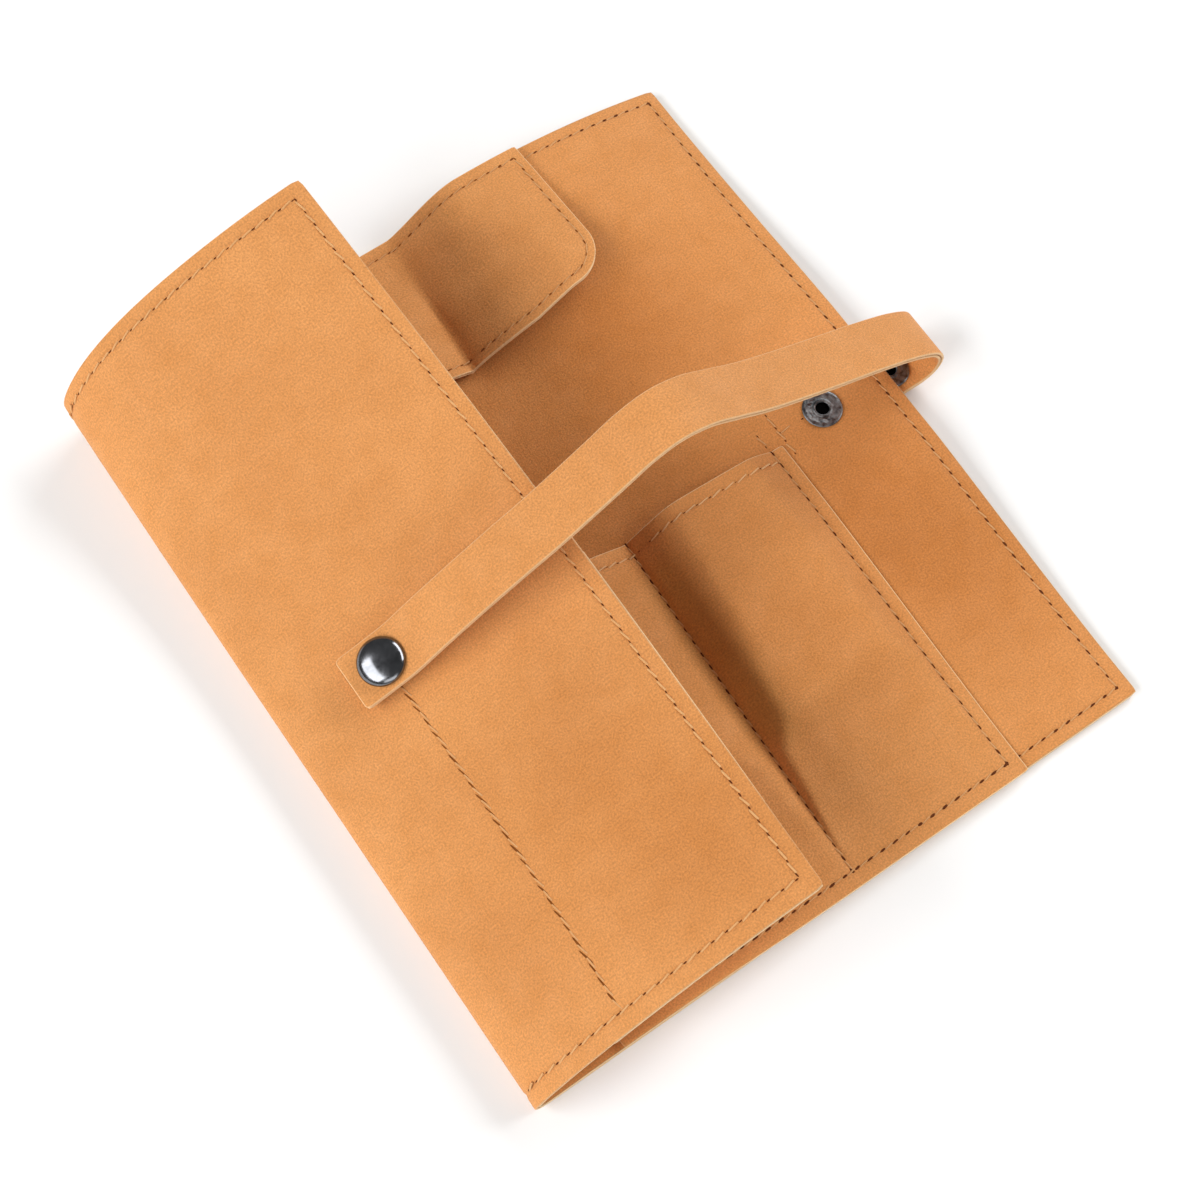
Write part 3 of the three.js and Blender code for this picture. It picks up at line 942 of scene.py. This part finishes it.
def threadShape(tree, entry):
    bow = addNode(tree, "GeometryNodeCurveQuadraticBezier", {"Resolution": stitch["bowPoints"]})
    section = addNode(tree, "GeometryNodeCurvePrimitiveCircle", {"Resolution": stitch["bowSides"]})
    tube = addNode(tree, "GeometryNodeCurveToMesh", {"Fill Caps": True})
    half, back, sunken, high = (mathNode(tree, "MULTIPLY", None, by)
                                for by in (0.5, -0.5, -1.0, stitch["bowCrown"]))
    start, middle, end = (addNode(tree, "ShaderNodeCombineXYZ") for _ in range(3))
    linkNodes(tree, [
        (entry, "Length", half, 0), (entry, "Length", back, 0), (entry, "Rise", sunken, 0),
        (entry, "Rise", high, 0), (back, 0, start, "X"), (sunken, 0, start, "Z"), (high, 0, middle, "Z"),
        (half, 0, end, "X"),
        (sunken, 0, end, "Z"), (start, 0, bow, "Start"), (middle, 0, bow, "Middle"), (end, 0, bow, "End"),
        (entry, "Width", section, "Radius"), (bow, 0, tube, "Curve"), (section, 0, tube, "Profile Curve"),
    ])
    return tube


def holeShape(tree, entry):
    lens = addNode(tree, "GeometryNodeMeshUVSphere", {"Segments": stitch["holeSegments"],
                                                      "Rings": stitch["holeRings"]})
    size = addNode(tree, "ShaderNodeCombineXYZ", {"Y": 1, "Z": stitch["holeFlat"]})
    shaped = addNode(tree, "GeometryNodeTransform")
    linkNodes(tree, [(entry, "Width", lens, "Radius"), (entry, "Length", size, "X"),
                     (size, 0, shaped, "Scale"), (lens, 0, shaped, "Geometry")])
    return shaped


def seamTree(name, shape, shift):
    tree, entry, leave = newTree(name, "GeometryNodeTree", seamInputs, [("Geometry", "Geometry")])
    line = addNode(tree, "GeometryNodeMeshToCurve")
    even = addNode(tree, "GeometryNodeResampleCurve", mode="LENGTH")
    tangent = addNode(tree, "GeometryNodeInputTangent")
    up = addNode(tree, "GeometryNodeInputNamedAttribute", {"Name": "up"}, data_type="FLOAT_VECTOR")
    aim = addNode(tree, "FunctionNodeAxesToRotation", primary_axis="X", secondary_axis="Z")
    placed, slid, turned, sized = (addNode(tree, "GeometryNode" + kind) for kind in (
        "InstanceOnPoints", "TranslateInstances", "RotateInstances", "ScaleInstances"))
    if shift:
        # A piece between two points, so none at the last one.
        last = addNode(tree, "GeometryNodeCurveEndpointSelection", {"Start Size": 0, "End Size": 1})
        others = addNode(tree, "FunctionNodeBooleanMath", operation="NOT")
        linkNodes(tree, [(last, 0, others, 0), (others, 0, placed, "Selection")])
    step, less = mathNode(tree, "MULTIPLY", None, shift), mathNode(tree, "MULTIPLY", None, -1)
    ahead, angle = addNode(tree, "ShaderNodeCombineXYZ"), addNode(tree, "ShaderNodeCombineXYZ")
    sway, lean = addNode(tree, "FunctionNodeRandomValue"), mathNode(tree, "ADD")
    size = addNode(tree, "FunctionNodeRandomValue", data_type="FLOAT_VECTOR")
    real, painted = addNode(tree, "GeometryNodeRealizeInstances"), addNode(tree, "GeometryNodeSetMaterial")
    made = shape(tree, entry)
    linkNodes(tree, [
        (entry, "Geometry", line, "Mesh"), (line, 0, even, "Curve"), (entry, "Pitch", even, "Length"),
        (even, 0, placed, "Points"), (made, 0, placed, "Instance"), (tangent, 0, aim, "Primary Axis"),
        (up, "Attribute", aim, "Secondary Axis"), (aim, 0, placed, "Rotation"), (entry, "Pitch", step, 0),
        (step, 0, ahead, "X"), (placed, 0, slid, "Instances"), (ahead, 0, slid, "Translation"),
        (entry, "Sway", less, 0), (less, 0, sway, 2), (entry, "Sway", sway, 3), (entry, "Seed", sway, "Seed"),
        (entry, "Slant", lean, 0), (sway, 1, lean, 1), (lean, 0, angle, "Z"), (slid, 0, turned, "Instances"),
        (angle, 0, turned, "Rotation"), (entry, "Smallest", size, 0), (entry, "Largest", size, 1),
        (entry, "Seed", size, "Seed"), (turned, 0, sized, "Instances"), (size, 0, sized, "Scale"),
        (sized, 0, real, "Geometry"), (real, 0, painted, "Geometry"),
        (entry, "Material", painted, "Material"), (painted, 0, leave, "Geometry"),
    ])
    return tree


threadTree = seamTree("threadAlongSeam", threadShape, 0.5)
holeTree = seamTree("needleHoles", holeShape, 0.0)


def seamLine(place, u, v, depth):
    # Points on one face of a sheet and the way out of that face.
    u, v = np.broadcast_arrays(np.asarray(u, float), np.asarray(v, float))
    here = place(u, v, depth)
    up = unit(here - place(u, v, 1.0 - depth))
    return here + up * stitch["lift"], up


def seamPath(name, lines):
    points = toFrame(np.concatenate([line for line, _ in lines]))
    ups = np.concatenate([up for _, up in lines])
    starts = np.cumsum([0] + [len(line) for line, _ in lines])
    edges = [(i, i + 1) for a, b in zip(starts, starts[1:]) for i in range(a, b - 1)]
    mesh = bpy.data.meshes.new(name)
    mesh.from_pydata(points.tolist(), edges, [])
    kept = mesh.attributes.new("up", "FLOAT_VECTOR", "POINT")
    kept.data.foreach_set("vector", ups.astype(np.float32).ravel())
    return addObject(name, mesh)


def sewn(name, lines, tree, values):
    path = seamPath(name + "Path", lines)
    nodes = path.modifiers.new("seam", "NODES")
    nodes.node_group = tree
    for item in tree.interface.items_tree:
        if item.in_out == "INPUT" and item.name in values:
            nodes[item.identifier] = values[item.name]
    depsgraph = bpy.context.evaluated_depsgraph_get()
    mesh = bpy.data.meshes.new_from_object(path.evaluated_get(depsgraph), depsgraph=depsgraph)
    bpy.data.objects.remove(path)
    mesh.name = name
    return addObject(name, mesh)


def sewSeams(name, lines, look, thread, hole, beside=None):
    values, vary = stitchLooks[look], stitch["vary"]
    shared = {"Pitch": stitch["pitch"] * metre, "Rise": stitch["rise"] * metre, "Seed": stitch["seed"],
              "Slant": math.radians(stitch["slant"]), "Sway": math.radians(stitch["sway"])}
    bows = sewn(name + "Thread", lines, threadTree, {
        **shared, "Length": values["length"] * metre, "Width": values["thread"] * metre,
        "Smallest": (1, 1, 1), "Largest": (1, 1, 1), "Material": thread})
    holes = sewn(name + "Holes", beside or lines, holeTree, {
        **shared, "Length": values["stretch"], "Width": values["hole"] * metre,
        "Smallest": (1 - vary, 1 - vary, 1), "Largest": (1 + vary, 1 + vary, 1), "Material": hole})
    bows.data.shade_smooth()
    return bows, holes


# Finishes. One grain group serves both sides of the leather.
leatherFinish = {
    "face": {"light": (0.685, 0.296, 0.087), "dark": (0.59, 0.240, 0.064), "edge": (0.87, 0.63, 0.35)},
    "inside": {"light": (0.675, 0.281, 0.079), "dark": (0.575, 0.226, 0.056), "edge": (0.87, 0.63, 0.35)},
    # Tints of painted shade: one for the darker spots, one for the shaded slope of the pocket.
    "shadeSpots": (0.79, 0.68, 0.48),
    "shaded": (0.86, 0.97, 0.82),
    # Darker along the stitch lines: partly painted shade in the groove the thread pulls, partly leather
    # pressed darker by the thread.
    "sewn": (0.9164, 0.8988, 0.8856),
    # Noises: scale, detail, roughness and distortion.
    "cloud": (42.0, 4.0, 0.6),
    "blotch": (150.0, 5.0, 0.62),
    "grain": (2300.0, 2.0),
    "nap": (805.0, 3.0),
    "crease": (420.0, 3.0, 0.6, 0.6),
    "creaseStretch": (1.0, 0.28, 1.0),
    "creaseTurn": 24,
    # Ranges: from low and high to low and high.
    "tone": (0.30, 0.68, 0, 1),
    "speck": (0.3, 0.7, 0.78, 1.20),
    "dull": (0.3, 0.7, 0.92, 0.74),
    "patch": (0.47, 0.66, 0.2, 2.4),
    "toneShares": (0.45, 0.55),
    "heights": (0.55, 0.35, 0.45),
    "bump": 0.00022,
    "specular": 0.45,
    "sheen": 0.2,
    "sheenRoughness": 0.45,
    "sheenTint": (1.0, 0.82, 0.62, 1),
}
# The sockets of a colour mix.
mixFactor, mixUnder, mixOver, mixResult = 0, 6, 7, 2


def noiseNode(tree, scale, detail, rough=0.55, distortion=0.0):
    return addNode(tree, "ShaderNodeTexNoise", {"Scale": scale, "Detail": detail, "Roughness": rough,
                                                "Distortion": distortion})


def mixNode(tree, blend="MIX", inputs=None):
    node = addNode(tree, "ShaderNodeMix", data_type="RGBA", blend_type=blend)
    for place, value in (inputs or {}).items():
        node.inputs[place].default_value = value if place == mixFactor else (*value, 1)
    return node


def rangeNode(tree, low, high, toLow, toHigh):
    return addNode(tree, "ShaderNodeMapRange", {"From Min": low, "From Max": high, "To Min": toLow,
                                                "To Max": toHigh})


def attributeNode(tree, name):
    return addNode(tree, "ShaderNodeAttribute", attribute_name=name)


def grainGroup():
    f = leatherFinish
    tree, entry, leave = newTree("leatherGrain", "ShaderNodeTree",
                                 [("Vector", "Vector"), ("Light", "Color"), ("Dark", "Color")],
                                 [("Color", "Color"), ("Roughness", "Float"), ("Height", "Float")])
    cloud, blotch, grain, nap, crease = (noiseNode(tree, *f[key])
                                         for key in ("cloud", "blotch", "grain", "nap", "crease"))
    stretch = addNode(tree, "ShaderNodeMapping", {"Scale": f["creaseStretch"],
                                                  "Rotation": (0, 0, math.radians(f["creaseTurn"]))})
    linkNodes(tree, [(entry, "Vector", node, "Vector") for node in (cloud, blotch, grain, nap, stretch)])
    share = mathNode(tree, "MULTIPLY", None, f["toneShares"][0])
    tone = mathNode(tree, "MULTIPLY_ADD", None, f["toneShares"][1])
    spreadTone, speck, dull, patch = (rangeNode(tree, *f[key]) for key in ("tone", "speck", "dull", "patch"))
    hide, specked = mixNode(tree), mixNode(tree, "MULTIPLY", {mixFactor: 1.0})
    low, mid, top = (mathNode(tree, "MULTIPLY_ADD", None, weight) for weight in f["heights"])
    patched = mathNode(tree, "MULTIPLY")
    linkNodes(tree, [
        (blotch, "Fac", share, 0), (cloud, "Fac", tone, 0), (share, 0, tone, 2),
        (tone, 0, spreadTone, "Value"), (spreadTone, 0, hide, mixFactor), (entry, "Dark", hide, mixUnder),
        (entry, "Light", hide, mixOver),
        (grain, "Fac", speck, "Value"), (hide, mixResult, specked, mixUnder), (speck, 0, specked, mixOver),
        (specked, mixResult, leave, "Color"), (blotch, "Fac", dull, "Value"), (dull, 0, leave, "Roughness"),
        (grain, "Fac", low, 0), (nap, "Fac", mid, 0), (low, 0, mid, 2), (stretch, 0, crease, "Vector"),
        (cloud, "Fac", patch, "Value"), (patch, 0, patched, 0), (crease, "Fac", patched, 1),
        (patched, 0, top, 0), (mid, 0, top, 2), (top, 0, leave, "Height"),
    ])
    return tree


leatherGrain = grainGroup()


def newFinish(name, inputs):
    finish = bpy.data.materials.new(name)
    finish.use_nodes = True
    tree = finish.node_tree
    shader = tree.nodes["Principled BSDF"]
    for key, value in inputs.items():
        shader.inputs[key].default_value = value
    return finish, tree, shader


def addBump(tree, source, distance, shader):
    bump = addNode(tree, "ShaderNodeBump", {"Distance": distance, "Strength": 1.0})
    linkNodes(tree, [(source, "Height", bump, "Height"), (bump, 0, shader, "Normal")])


def leatherMaterial(name, side):
    f, colours = leatherFinish, leatherFinish[side]
    finish, tree, shader = newFinish(name, {
        "Specular IOR Level": f["specular"], "Sheen Weight": f["sheen"],
        "Sheen Roughness": f["sheenRoughness"], "Sheen Tint": f["sheenTint"]})
    flat = addNode(tree, "ShaderNodeUVMap", uv_map="flat")
    grain = addNode(tree, "ShaderNodeGroup", node_tree=leatherGrain)
    grain.inputs["Light"].default_value = (*colours["light"], 1)
    grain.inputs["Dark"].default_value = (*colours["dark"], 1)
    linkNodes(tree, [(flat, 0, grain, "Vector"), (grain, "Roughness", shader, "Roughness")])
    source, socket = grain, "Color"
    # The grain's colour darkens with the painted shade of the spots, the shaded slope and the seams, then
    # mixes in the cut edge's cream.
    for attribute, blend, tint in (("shadeSpots", "MULTIPLY", f["shadeSpots"]), ("shaded", "MULTIPLY", f["shaded"]),
                                   ("seamPull", "MULTIPLY", f["sewn"]), ("cutEdge", "MIX", colours["edge"])):
        tinted = mixNode(tree, blend, {mixOver: tint})
        linkNodes(tree, [(attributeNode(tree, attribute), "Fac", tinted, mixFactor),
                         (source, socket, tinted, mixUnder)])
        source, socket = tinted, mixResult
    linkNodes(tree, [(source, socket, shader, "Base Color")])
    addBump(tree, grain, f["bump"], shader)
    return finish


leatherFace = leatherMaterial("leatherFace", "face")
leatherInside = leatherMaterial("leatherInside", "inside")

# Two colours each, mixed by a fine noise.
threadFinish = {
    "tan": ((0.70, 0.37, 0.15), (0.50, 0.25, 0.09)),
    "bright": ((0.76, 0.42, 0.17), (0.54, 0.27, 0.10)),
    "pale": ((0.80, 0.50, 0.25), (0.62, 0.35, 0.15)),
    "scale": 2200.0,
    "roughness": 0.62,
    "specular": 0.3,
    "detail": 2.0,
}
# Needle holes: near-black and dark brown lenses on the surface, painted shade for the depth of each hole.
holeFinish = {
    "dark": ((0.062, 0.012, 0.001), (0.14, 0.034, 0.004)),
    "brown": ((0.13, 0.032, 0.002), (0.25, 0.075, 0.010)),
    "scale": 1500.0,
    "roughness": 0.95,
    "specular": 0.3,
    "detail": 2.0,
}


def noiseFinish(name, values, key):
    first, second = values[key]
    finish, tree, shader = newFinish(name, {"Roughness": values["roughness"],
                                            "Specular IOR Level": values["specular"]})
    place, grain = addNode(tree, "ShaderNodeTexCoord"), noiseNode(tree, values["scale"], values["detail"])
    colour = mixNode(tree, inputs={mixUnder: second, mixOver: first})
    linkNodes(tree, [(place, "Object", grain, "Vector"), (grain, "Fac", colour, mixFactor),
                     (colour, mixResult, shader, "Base Color")])
    return finish


threads = {key: noiseFinish("thread" + key.title(), threadFinish, key) for key in ("tan", "bright", "pale")}
holeDark = noiseFinish("needleHole", holeFinish, "dark")
holeBrown = noiseFinish("needleLine", holeFinish, "brown")

metalFinish = {
    "cap": {"light": (0.22, 0.225, 0.24), "dark": (0.13, 0.135, 0.145), "rough": (0.12, 0.22), "scale": 260.0,
            "bump": 0.000004},
    "antique": {"light": (0.27, 0.28, 0.285), "dark": (0.085, 0.087, 0.09), "rough": (0.3, 0.5),
                "scale": 900.0, "bump": 0.00006},
    "spring": {"light": (0.62, 0.62, 0.63), "dark": (0.42, 0.42, 0.44), "rough": (0.2, 0.35), "scale": 700.0,
               "bump": 0.00001},
    # Near black for the floor of an eyelet's barrel, painted shade inside the hole.
    "bore": (0.002, 0.002, 0.002),
    "wide": (1.0, 4.0, 0.6, 0.4),
    "fine": (1.0, 3.0, 0.6),
    "fineTimes": 2.6,
    "mask": (0.35, 0.65, 0, 1),
}


def smudgeGroup():
    tree, entry, leave = newTree("metalSmudge", "ShaderNodeTree", [("Vector", "Vector"), ("Scale", "Float")],
                                 [("Mask", "Float"), ("Height", "Float")])
    f = metalFinish
    wide, fine = noiseNode(tree, *f["wide"]), noiseNode(tree, *f["fine"])
    larger, spreadMask = mathNode(tree, "MULTIPLY", None, f["fineTimes"]), rangeNode(tree, *f["mask"])
    linkNodes(tree, [
        (entry, "Vector", wide, "Vector"), (entry, "Vector", fine, "Vector"), (entry, "Scale", wide, "Scale"),
        (entry, "Scale", larger, 0), (larger, 0, fine, "Scale"), (wide, "Fac", spreadMask, "Value"),
        (spreadMask, 0, leave, "Mask"), (fine, "Fac", leave, "Height"),
    ])
    return tree


metalSmudge = smudgeGroup()


def metalMaterial(name, key):
    values = metalFinish[key]
    finish, tree, shader = newFinish(name, {"Metallic": 1.0})
    place = addNode(tree, "ShaderNodeTexCoord")
    smudge = addNode(tree, "ShaderNodeGroup", node_tree=metalSmudge)
    smudge.inputs["Scale"].default_value = values["scale"]
    colour = mixNode(tree, inputs={mixUnder: values["dark"], mixOver: values["light"]})
    shown = mixNode(tree, inputs={mixOver: metalFinish["bore"]})
    rough = rangeNode(tree, 0, 1, *values["rough"])
    linkNodes(tree, [
        (place, "Object", smudge, "Vector"), (smudge, "Mask", colour, mixFactor),
        (attributeNode(tree, "bore"), "Fac", shown, mixFactor), (colour, mixResult, shown, mixUnder),
        (shown, mixResult, shader, "Base Color"), (smudge, "Mask", rough, "Value"),
        (rough, 0, shader, "Roughness"),
    ])
    addBump(tree, smudge, values["bump"], shader)
    return finish


capMetal = metalMaterial("capGunmetal", "cap")
antiqueMetal = metalMaterial("eyeletAntique", "antique")
springMetal = metalMaterial("springSteel", "spring")
print("finishes made")

# Where each seam runs. No stitch is drawn in the tightest part of the fold.
foldStitches = {"before": 1, "lower": 0.8, "upper": 0.66}
strapTack = {"x": 129.7, "bar": (86.6, 98.2), "line": (129.7, 136.8), "lineY": 92.6, "backTack": (91.5, 94.8)}
mouthGap = 0.4


def samples(start, end):
    return np.arange(start, end, stitch["sample"])


def backAt(x, y):
    # How far along the hide an x on the back lies.
    fold = flapControls(y)[0][1]
    return (pouch["width"] - x) / (pouch["width"] - fold) * flapShape["backRun"]


def alongBack(place, xs, ys, depth):
    # A seam drawn by x and y on the back of the hide or of its lining.
    xs, ys = np.broadcast_arrays(np.asarray(xs, float), np.asarray(ys, float))
    return seamLine(place, np.array([backAt(x, y) for x, y in zip(xs, ys)]), ys, depth)


def seamsOfHide():
    backRun, foldRun = flapShape["backRun"], flapShape["foldRun"]
    cs, ys = samples(seamRight, seamFree), samples(seamLow, seamHigh)
    onBack = cs[cs < backRun - foldStitches["before"]]
    lower, upper = (cs[cs > backRun + foldStitches[side] * foldRun] for side in ("lower", "upper"))
    return [seamLine(hideFace, c, y, 0.0) for c, y in (
        (onBack, seamLow), (lower, lowSeam(lower)), (onBack, seamHigh), (upper, seamHigh), (seamRight, ys),
        (seamFree, ys[ys > lowSeam(seamFree)]))]


def seamsOfLining():
    ys = samples(seamLow, seamHigh)
    lowRight = samples(seamRight, backAt(pocketShape["right"], seamLow))
    lowLeft = samples(backAt(pocketShape["left"], seamLow), seamFree)
    topRight = samples(seamRight, backAt(coverShape["right"] - coverShape["taper"], seamHigh))
    topLeft = samples(backAt(coverShape["left"], seamHigh), seamFree)
    return [seamLine(liningFace, c, y, 1.0) for c, y in (
        (lowRight, seamLow), (lowLeft, lowSeam(lowLeft)), (topRight, seamHigh), (topLeft, seamHigh),
        (seamRight, ys), (seamFree, ys))]


def seamsBehind():
    # The pocket's seams as they come out on the outer side of the back.
    ys = samples(seamLow, pocketShape["mouth"])
    return [alongBack(hideFace, pocketX(np.full(len(ys), at), ys), ys, 0.0) for at in pocketShape["seams"]]


def seamsOfLap():
    # A bar and a short line sew the strap's end behind the right panel, and come out under it.
    s, under, middle = strapTack, strapPly("face"), pouch["strapY"]
    ys, xs, tack = samples(*s["bar"]), samples(*s["line"]), samples(*s["backTack"])
    start = strapShape["lap"][0]
    return [alongBack(liningFace, s["x"], ys, 1.0), alongBack(liningFace, xs, s["lineY"], 1.0),
            alongBack(liningFace, pocketShape["seams"][3], tack, 1.0),
            seamLine(under, s["x"] - start, ys - middle, 0.0),
            seamLine(under, xs - start, s["lineY"] - middle, 0.0)]


def seamsOfPocket():
    first, _, middle, last = pocketShape["seams"]
    ys = samples(seamLow, pocketShape["mouth"] - mouthGap)
    lines = [seamLine(pocketFace, at, ys, 0.0) for at in (first, middle, last)]
    return lines + [seamLine(pocketFace, samples(first, last), seamLow, 0.0)]


def seamsOfMouth():
    s = pocketShape
    return [seamLine(pocketFace, samples(s["seams"][0], s["seams"][3]), s["mouth"] - s["mouthSeam"], 0.0)]


def seamsOfFlap():
    # The thread and the holes on the outside, then the seam on the inside.
    s = flapPocketShape
    ys = samples(seamLow + edgeSeam["onFlap"], s["mouth"])
    top, low = s["seam"]
    at = flapPocketLeft + mix(low, top, ys / s["mouth"])
    return [[seamLine(place, c, ys, 0.0)] for place, c in (
        (hideFace, at), (hideFace, at - s["beside"]), (flapPocketFace, at))]


def seamsOfCover():
    place, r = coverPly("coverFace"), coverShape["corner"] - coverShape["seam"]
    left, right = coverSides
    turn = np.radians(np.arange(0, 90, stitch["cornerTurn"]))
    xs, ys = samples(left + r, right - r), samples(coverLow + r, seamHigh)
    x = np.concatenate([np.full(len(ys), left), left + r - r * np.cos(turn), xs, right - r + r * np.sin(turn),
                        np.full(len(ys), right)])
    y = np.concatenate([ys[::-1], coverLow + r - r * np.sin(turn), np.full(len(xs), coverLow),
                        coverLow + r - r * np.cos(turn), ys])
    return [seamLine(place, x, y, 0.0), seamLine(place, samples(left, right), seamHigh, 0.0)]


flapOutside, flapHoles, flapInside = seamsOfFlap()
seams = {name: sewSeams(name + "Seam", lines, look, threads[tone], hole, beside)
         for name, lines, look, tone, hole, beside in (
             ("hide", seamsOfHide(), "flap", "bright", holeDark, None),
             ("lining", seamsOfLining(), "edge", "tan", holeDark, None),
             ("pocket", seamsOfPocket(), "seam", "tan", holeDark, None),
             ("mouth", seamsOfMouth(), "mouth", "pale", holeDark, None),
             ("behind", seamsBehind(), "seam", "tan", holeDark, None),
             ("lap", seamsOfLap(), "mouth", "tan", holeDark, None),
             ("flap", flapOutside, "line", "tan", holeBrown, flapHoles),
             ("flapPocket", flapInside, "seam", "tan", holeDark, None),
             ("cover", seamsOfCover(), "cover", "tan", holeBrown, None))}
print("seams sewn")


def paint(made, finish, slotName=None):
    made.data.materials.clear()
    made.data.materials.append(finish)


def attachLeather():
    # Each sheet with its finish, its slot and the solids that it stands for.
    sheets = (
        (outerHide, leatherFace, "leather_face", ("back_panel", "fold_spine", "flap_panel")),
        (innerLining, leatherInside, "leather_inside", ("back_lining", "fold_lining", "flap_lining")),
        (pocketStrip, leatherFace, "leather_inside", ("pocket_strip",)),
        (flapPocket, leatherInside, "leather_inside", ("flap_pocket",)),
        (coverFace, leatherFace, "leather_face", ("cover_face", "cover_hem")),
        (coverLining, leatherInside, "leather_inside", ("cover_lining",)),
        (strapFace, leatherFace, "leather_face", ("strap_lap_face", "strap_bend_face", "strap_face")),
        (strapLining, leatherInside, "leather_inside",
         ("strap_lap_lining", "strap_bend_lining", "strap_lining")),
    )
    for made, finish, slotName, _ in sheets:
        paint(made, finish, slotName)
    for child, pieces in (("flap", (outerHide, innerLining, *seams["hide"], *seams["lining"])),
                          ("strap", (strapFace, strapLining)),
                          ("cover", (coverFace, coverLining, *seams["cover"]))):
        for made in pieces:
            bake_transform(made)
    for made in (pocketStrip, *seams["pocket"], *seams["mouth"], *seams["behind"], *seams["lap"]):
        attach(made, "back")
    for made in (flapPocket, *seams["flap"], *seams["flapPocket"]):
        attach(made, "flap")
    for made, _, _, nodes in sheets:
        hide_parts(*nodes)


attachLeather()

# Each sheet of leather is cut flat to the run of its own rows.
flatRows = {"hide": (2, 46, 92, 138, 182), "hideCount": 500, "mouthInset": 1, "pocketLow": 3,
            "pocketCount": 400, "cover": 160, "coverCount": 300}


def rowRun(place, us, v):
    row = place(us, np.full(len(us), float(v)), np.full(len(us), 0.5))
    return float(runAlong(row)[-1]) / 1000


def declareSheets():
    s, c, f = pocketShape, coverShape, flapPocketShape
    across = np.linspace(0, hideRun, flatRows["hideCount"])
    hideWide = float(np.mean([rowRun(hideFace, across, y) for y in flatRows["hide"]]))
    slots = np.linspace(s["left"], s["right"], flatRows["pocketCount"])
    mouthWide = rowRun(pocketFace, slots, s["mouth"] - flatRows["mouthInset"])
    lowWide = rowRun(pocketFace, slots, flatRows["pocketLow"])
    pocketHigh = (s["mouth"] + s["drop"]) * metre
    alongCover = np.linspace(c["left"], c["right"], flatRows["coverCount"])
    coverWide = rowRun(coverPly("coverFace"), alongCover, flatRows["cover"])
    flapPocketWide = (1 - f["left"]) * flapShape["flapRun"] * metre + f["margin"] * metre
    hideFlat, pocketFlat = (hideWide, pouch["height"] * metre), (mouthWide, pocketHigh)
    coverFlat = (coverWide, (pouch["height"] - c["bottom"]) * metre)
    flapPocketFlat = (flapPocketWide, f["mouth"] * metre)
    strapFlat = (strapShape["width"] * metre, float(strapRun[-1]) * metre)
    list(seams["hide"])
    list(seams["behind"])
    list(seams["flap"])
    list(seams["lining"])
    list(seams["lap"])
    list(seams["pocket"])
    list(seams["mouth"])
    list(seams["flapPocket"])
    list(seams["cover"])
    for name, flat in (("hide", hideFlat), ("pocket", pocketFlat), ("flap pocket", flapPocketFlat),
                       ("cover", coverFlat), ("strap", strapFlat)):
        print("flat", name, [round(side, 4) for side in flat])


declareSheets()

for node, (made, body) in snaps.items():
    isCap = node == "front_snap_cap"
    paint(made, capMetal if isCap else antiqueMetal, "snap_cap" if isCap else "snap_antique")
    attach(made, body)
    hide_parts(node)
paint(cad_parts["front_snap_spring"], springMetal)
print("pieces attached")

studio = {
    "floor": 3.0,
    "floorDrop": 0.0004,
    "floorColour": (0.92, 0.92, 0.915, 1),
    "floorRoughness": 0.9,
    "floorSpecular": 0.1,
    "sky": 0.18,
    "lamps": {
        "key": {"at": (-0.90, 0.06, 0.68), "size": (1.2, 0.6), "power": 13.4},
        "fill": {"at": (0.92, 0.10, 0.68), "size": (1.3, 0.5), "power": 13.0},
        "low": {"at": (-0.42, -0.95, 0.50), "size": (0.9, 0.45), "power": 2.6},
    },
}


def addFloor():
    half, z = studio["floor"] / 2, -studio["floorDrop"]
    mesh = bpy.data.meshes.new("floor")
    corners = [(x * half, y * half, z) for x, y in ((-1, -1), (1, -1), (1, 1), (-1, 1))]
    mesh.from_pydata(corners, [], [(0, 1, 2, 3)])
    mesh.materials.append(newFinish("paleFloor", {
        "Base Color": studio["floorColour"], "Roughness": studio["floorRoughness"],
        "Specular IOR Level": studio["floorSpecular"]})[0])
    addObject("floor", mesh)


def addLamp(name, values):
    light = bpy.data.lights.new(name, "AREA")
    light.shape = "RECTANGLE"
    light.size, light.size_y = values["size"]
    light.energy = values["power"]
    lamp = addObject(name, light)
    lamp.location = values["at"]
    lamp.rotation_mode = "QUATERNION"
    lamp.rotation_quaternion = (-Vector(values["at"])).to_track_quat("-Z", "Y")


def addSky():
    world = bpy.data.worlds.new("studio")
    world.use_nodes = True
    sky = world.node_tree.nodes["Background"]
    sky.inputs["Color"].default_value = (1, 1, 1, 1)
    sky.inputs["Strength"].default_value = studio["sky"]
    bpy.context.scene.world = world
    bpy.context.scene.view_settings.view_transform = "Standard"


addFloor()
addSky()
for lampName, lampValues in studio["lamps"].items():
    addLamp(lampName, lampValues)
print("studio set")
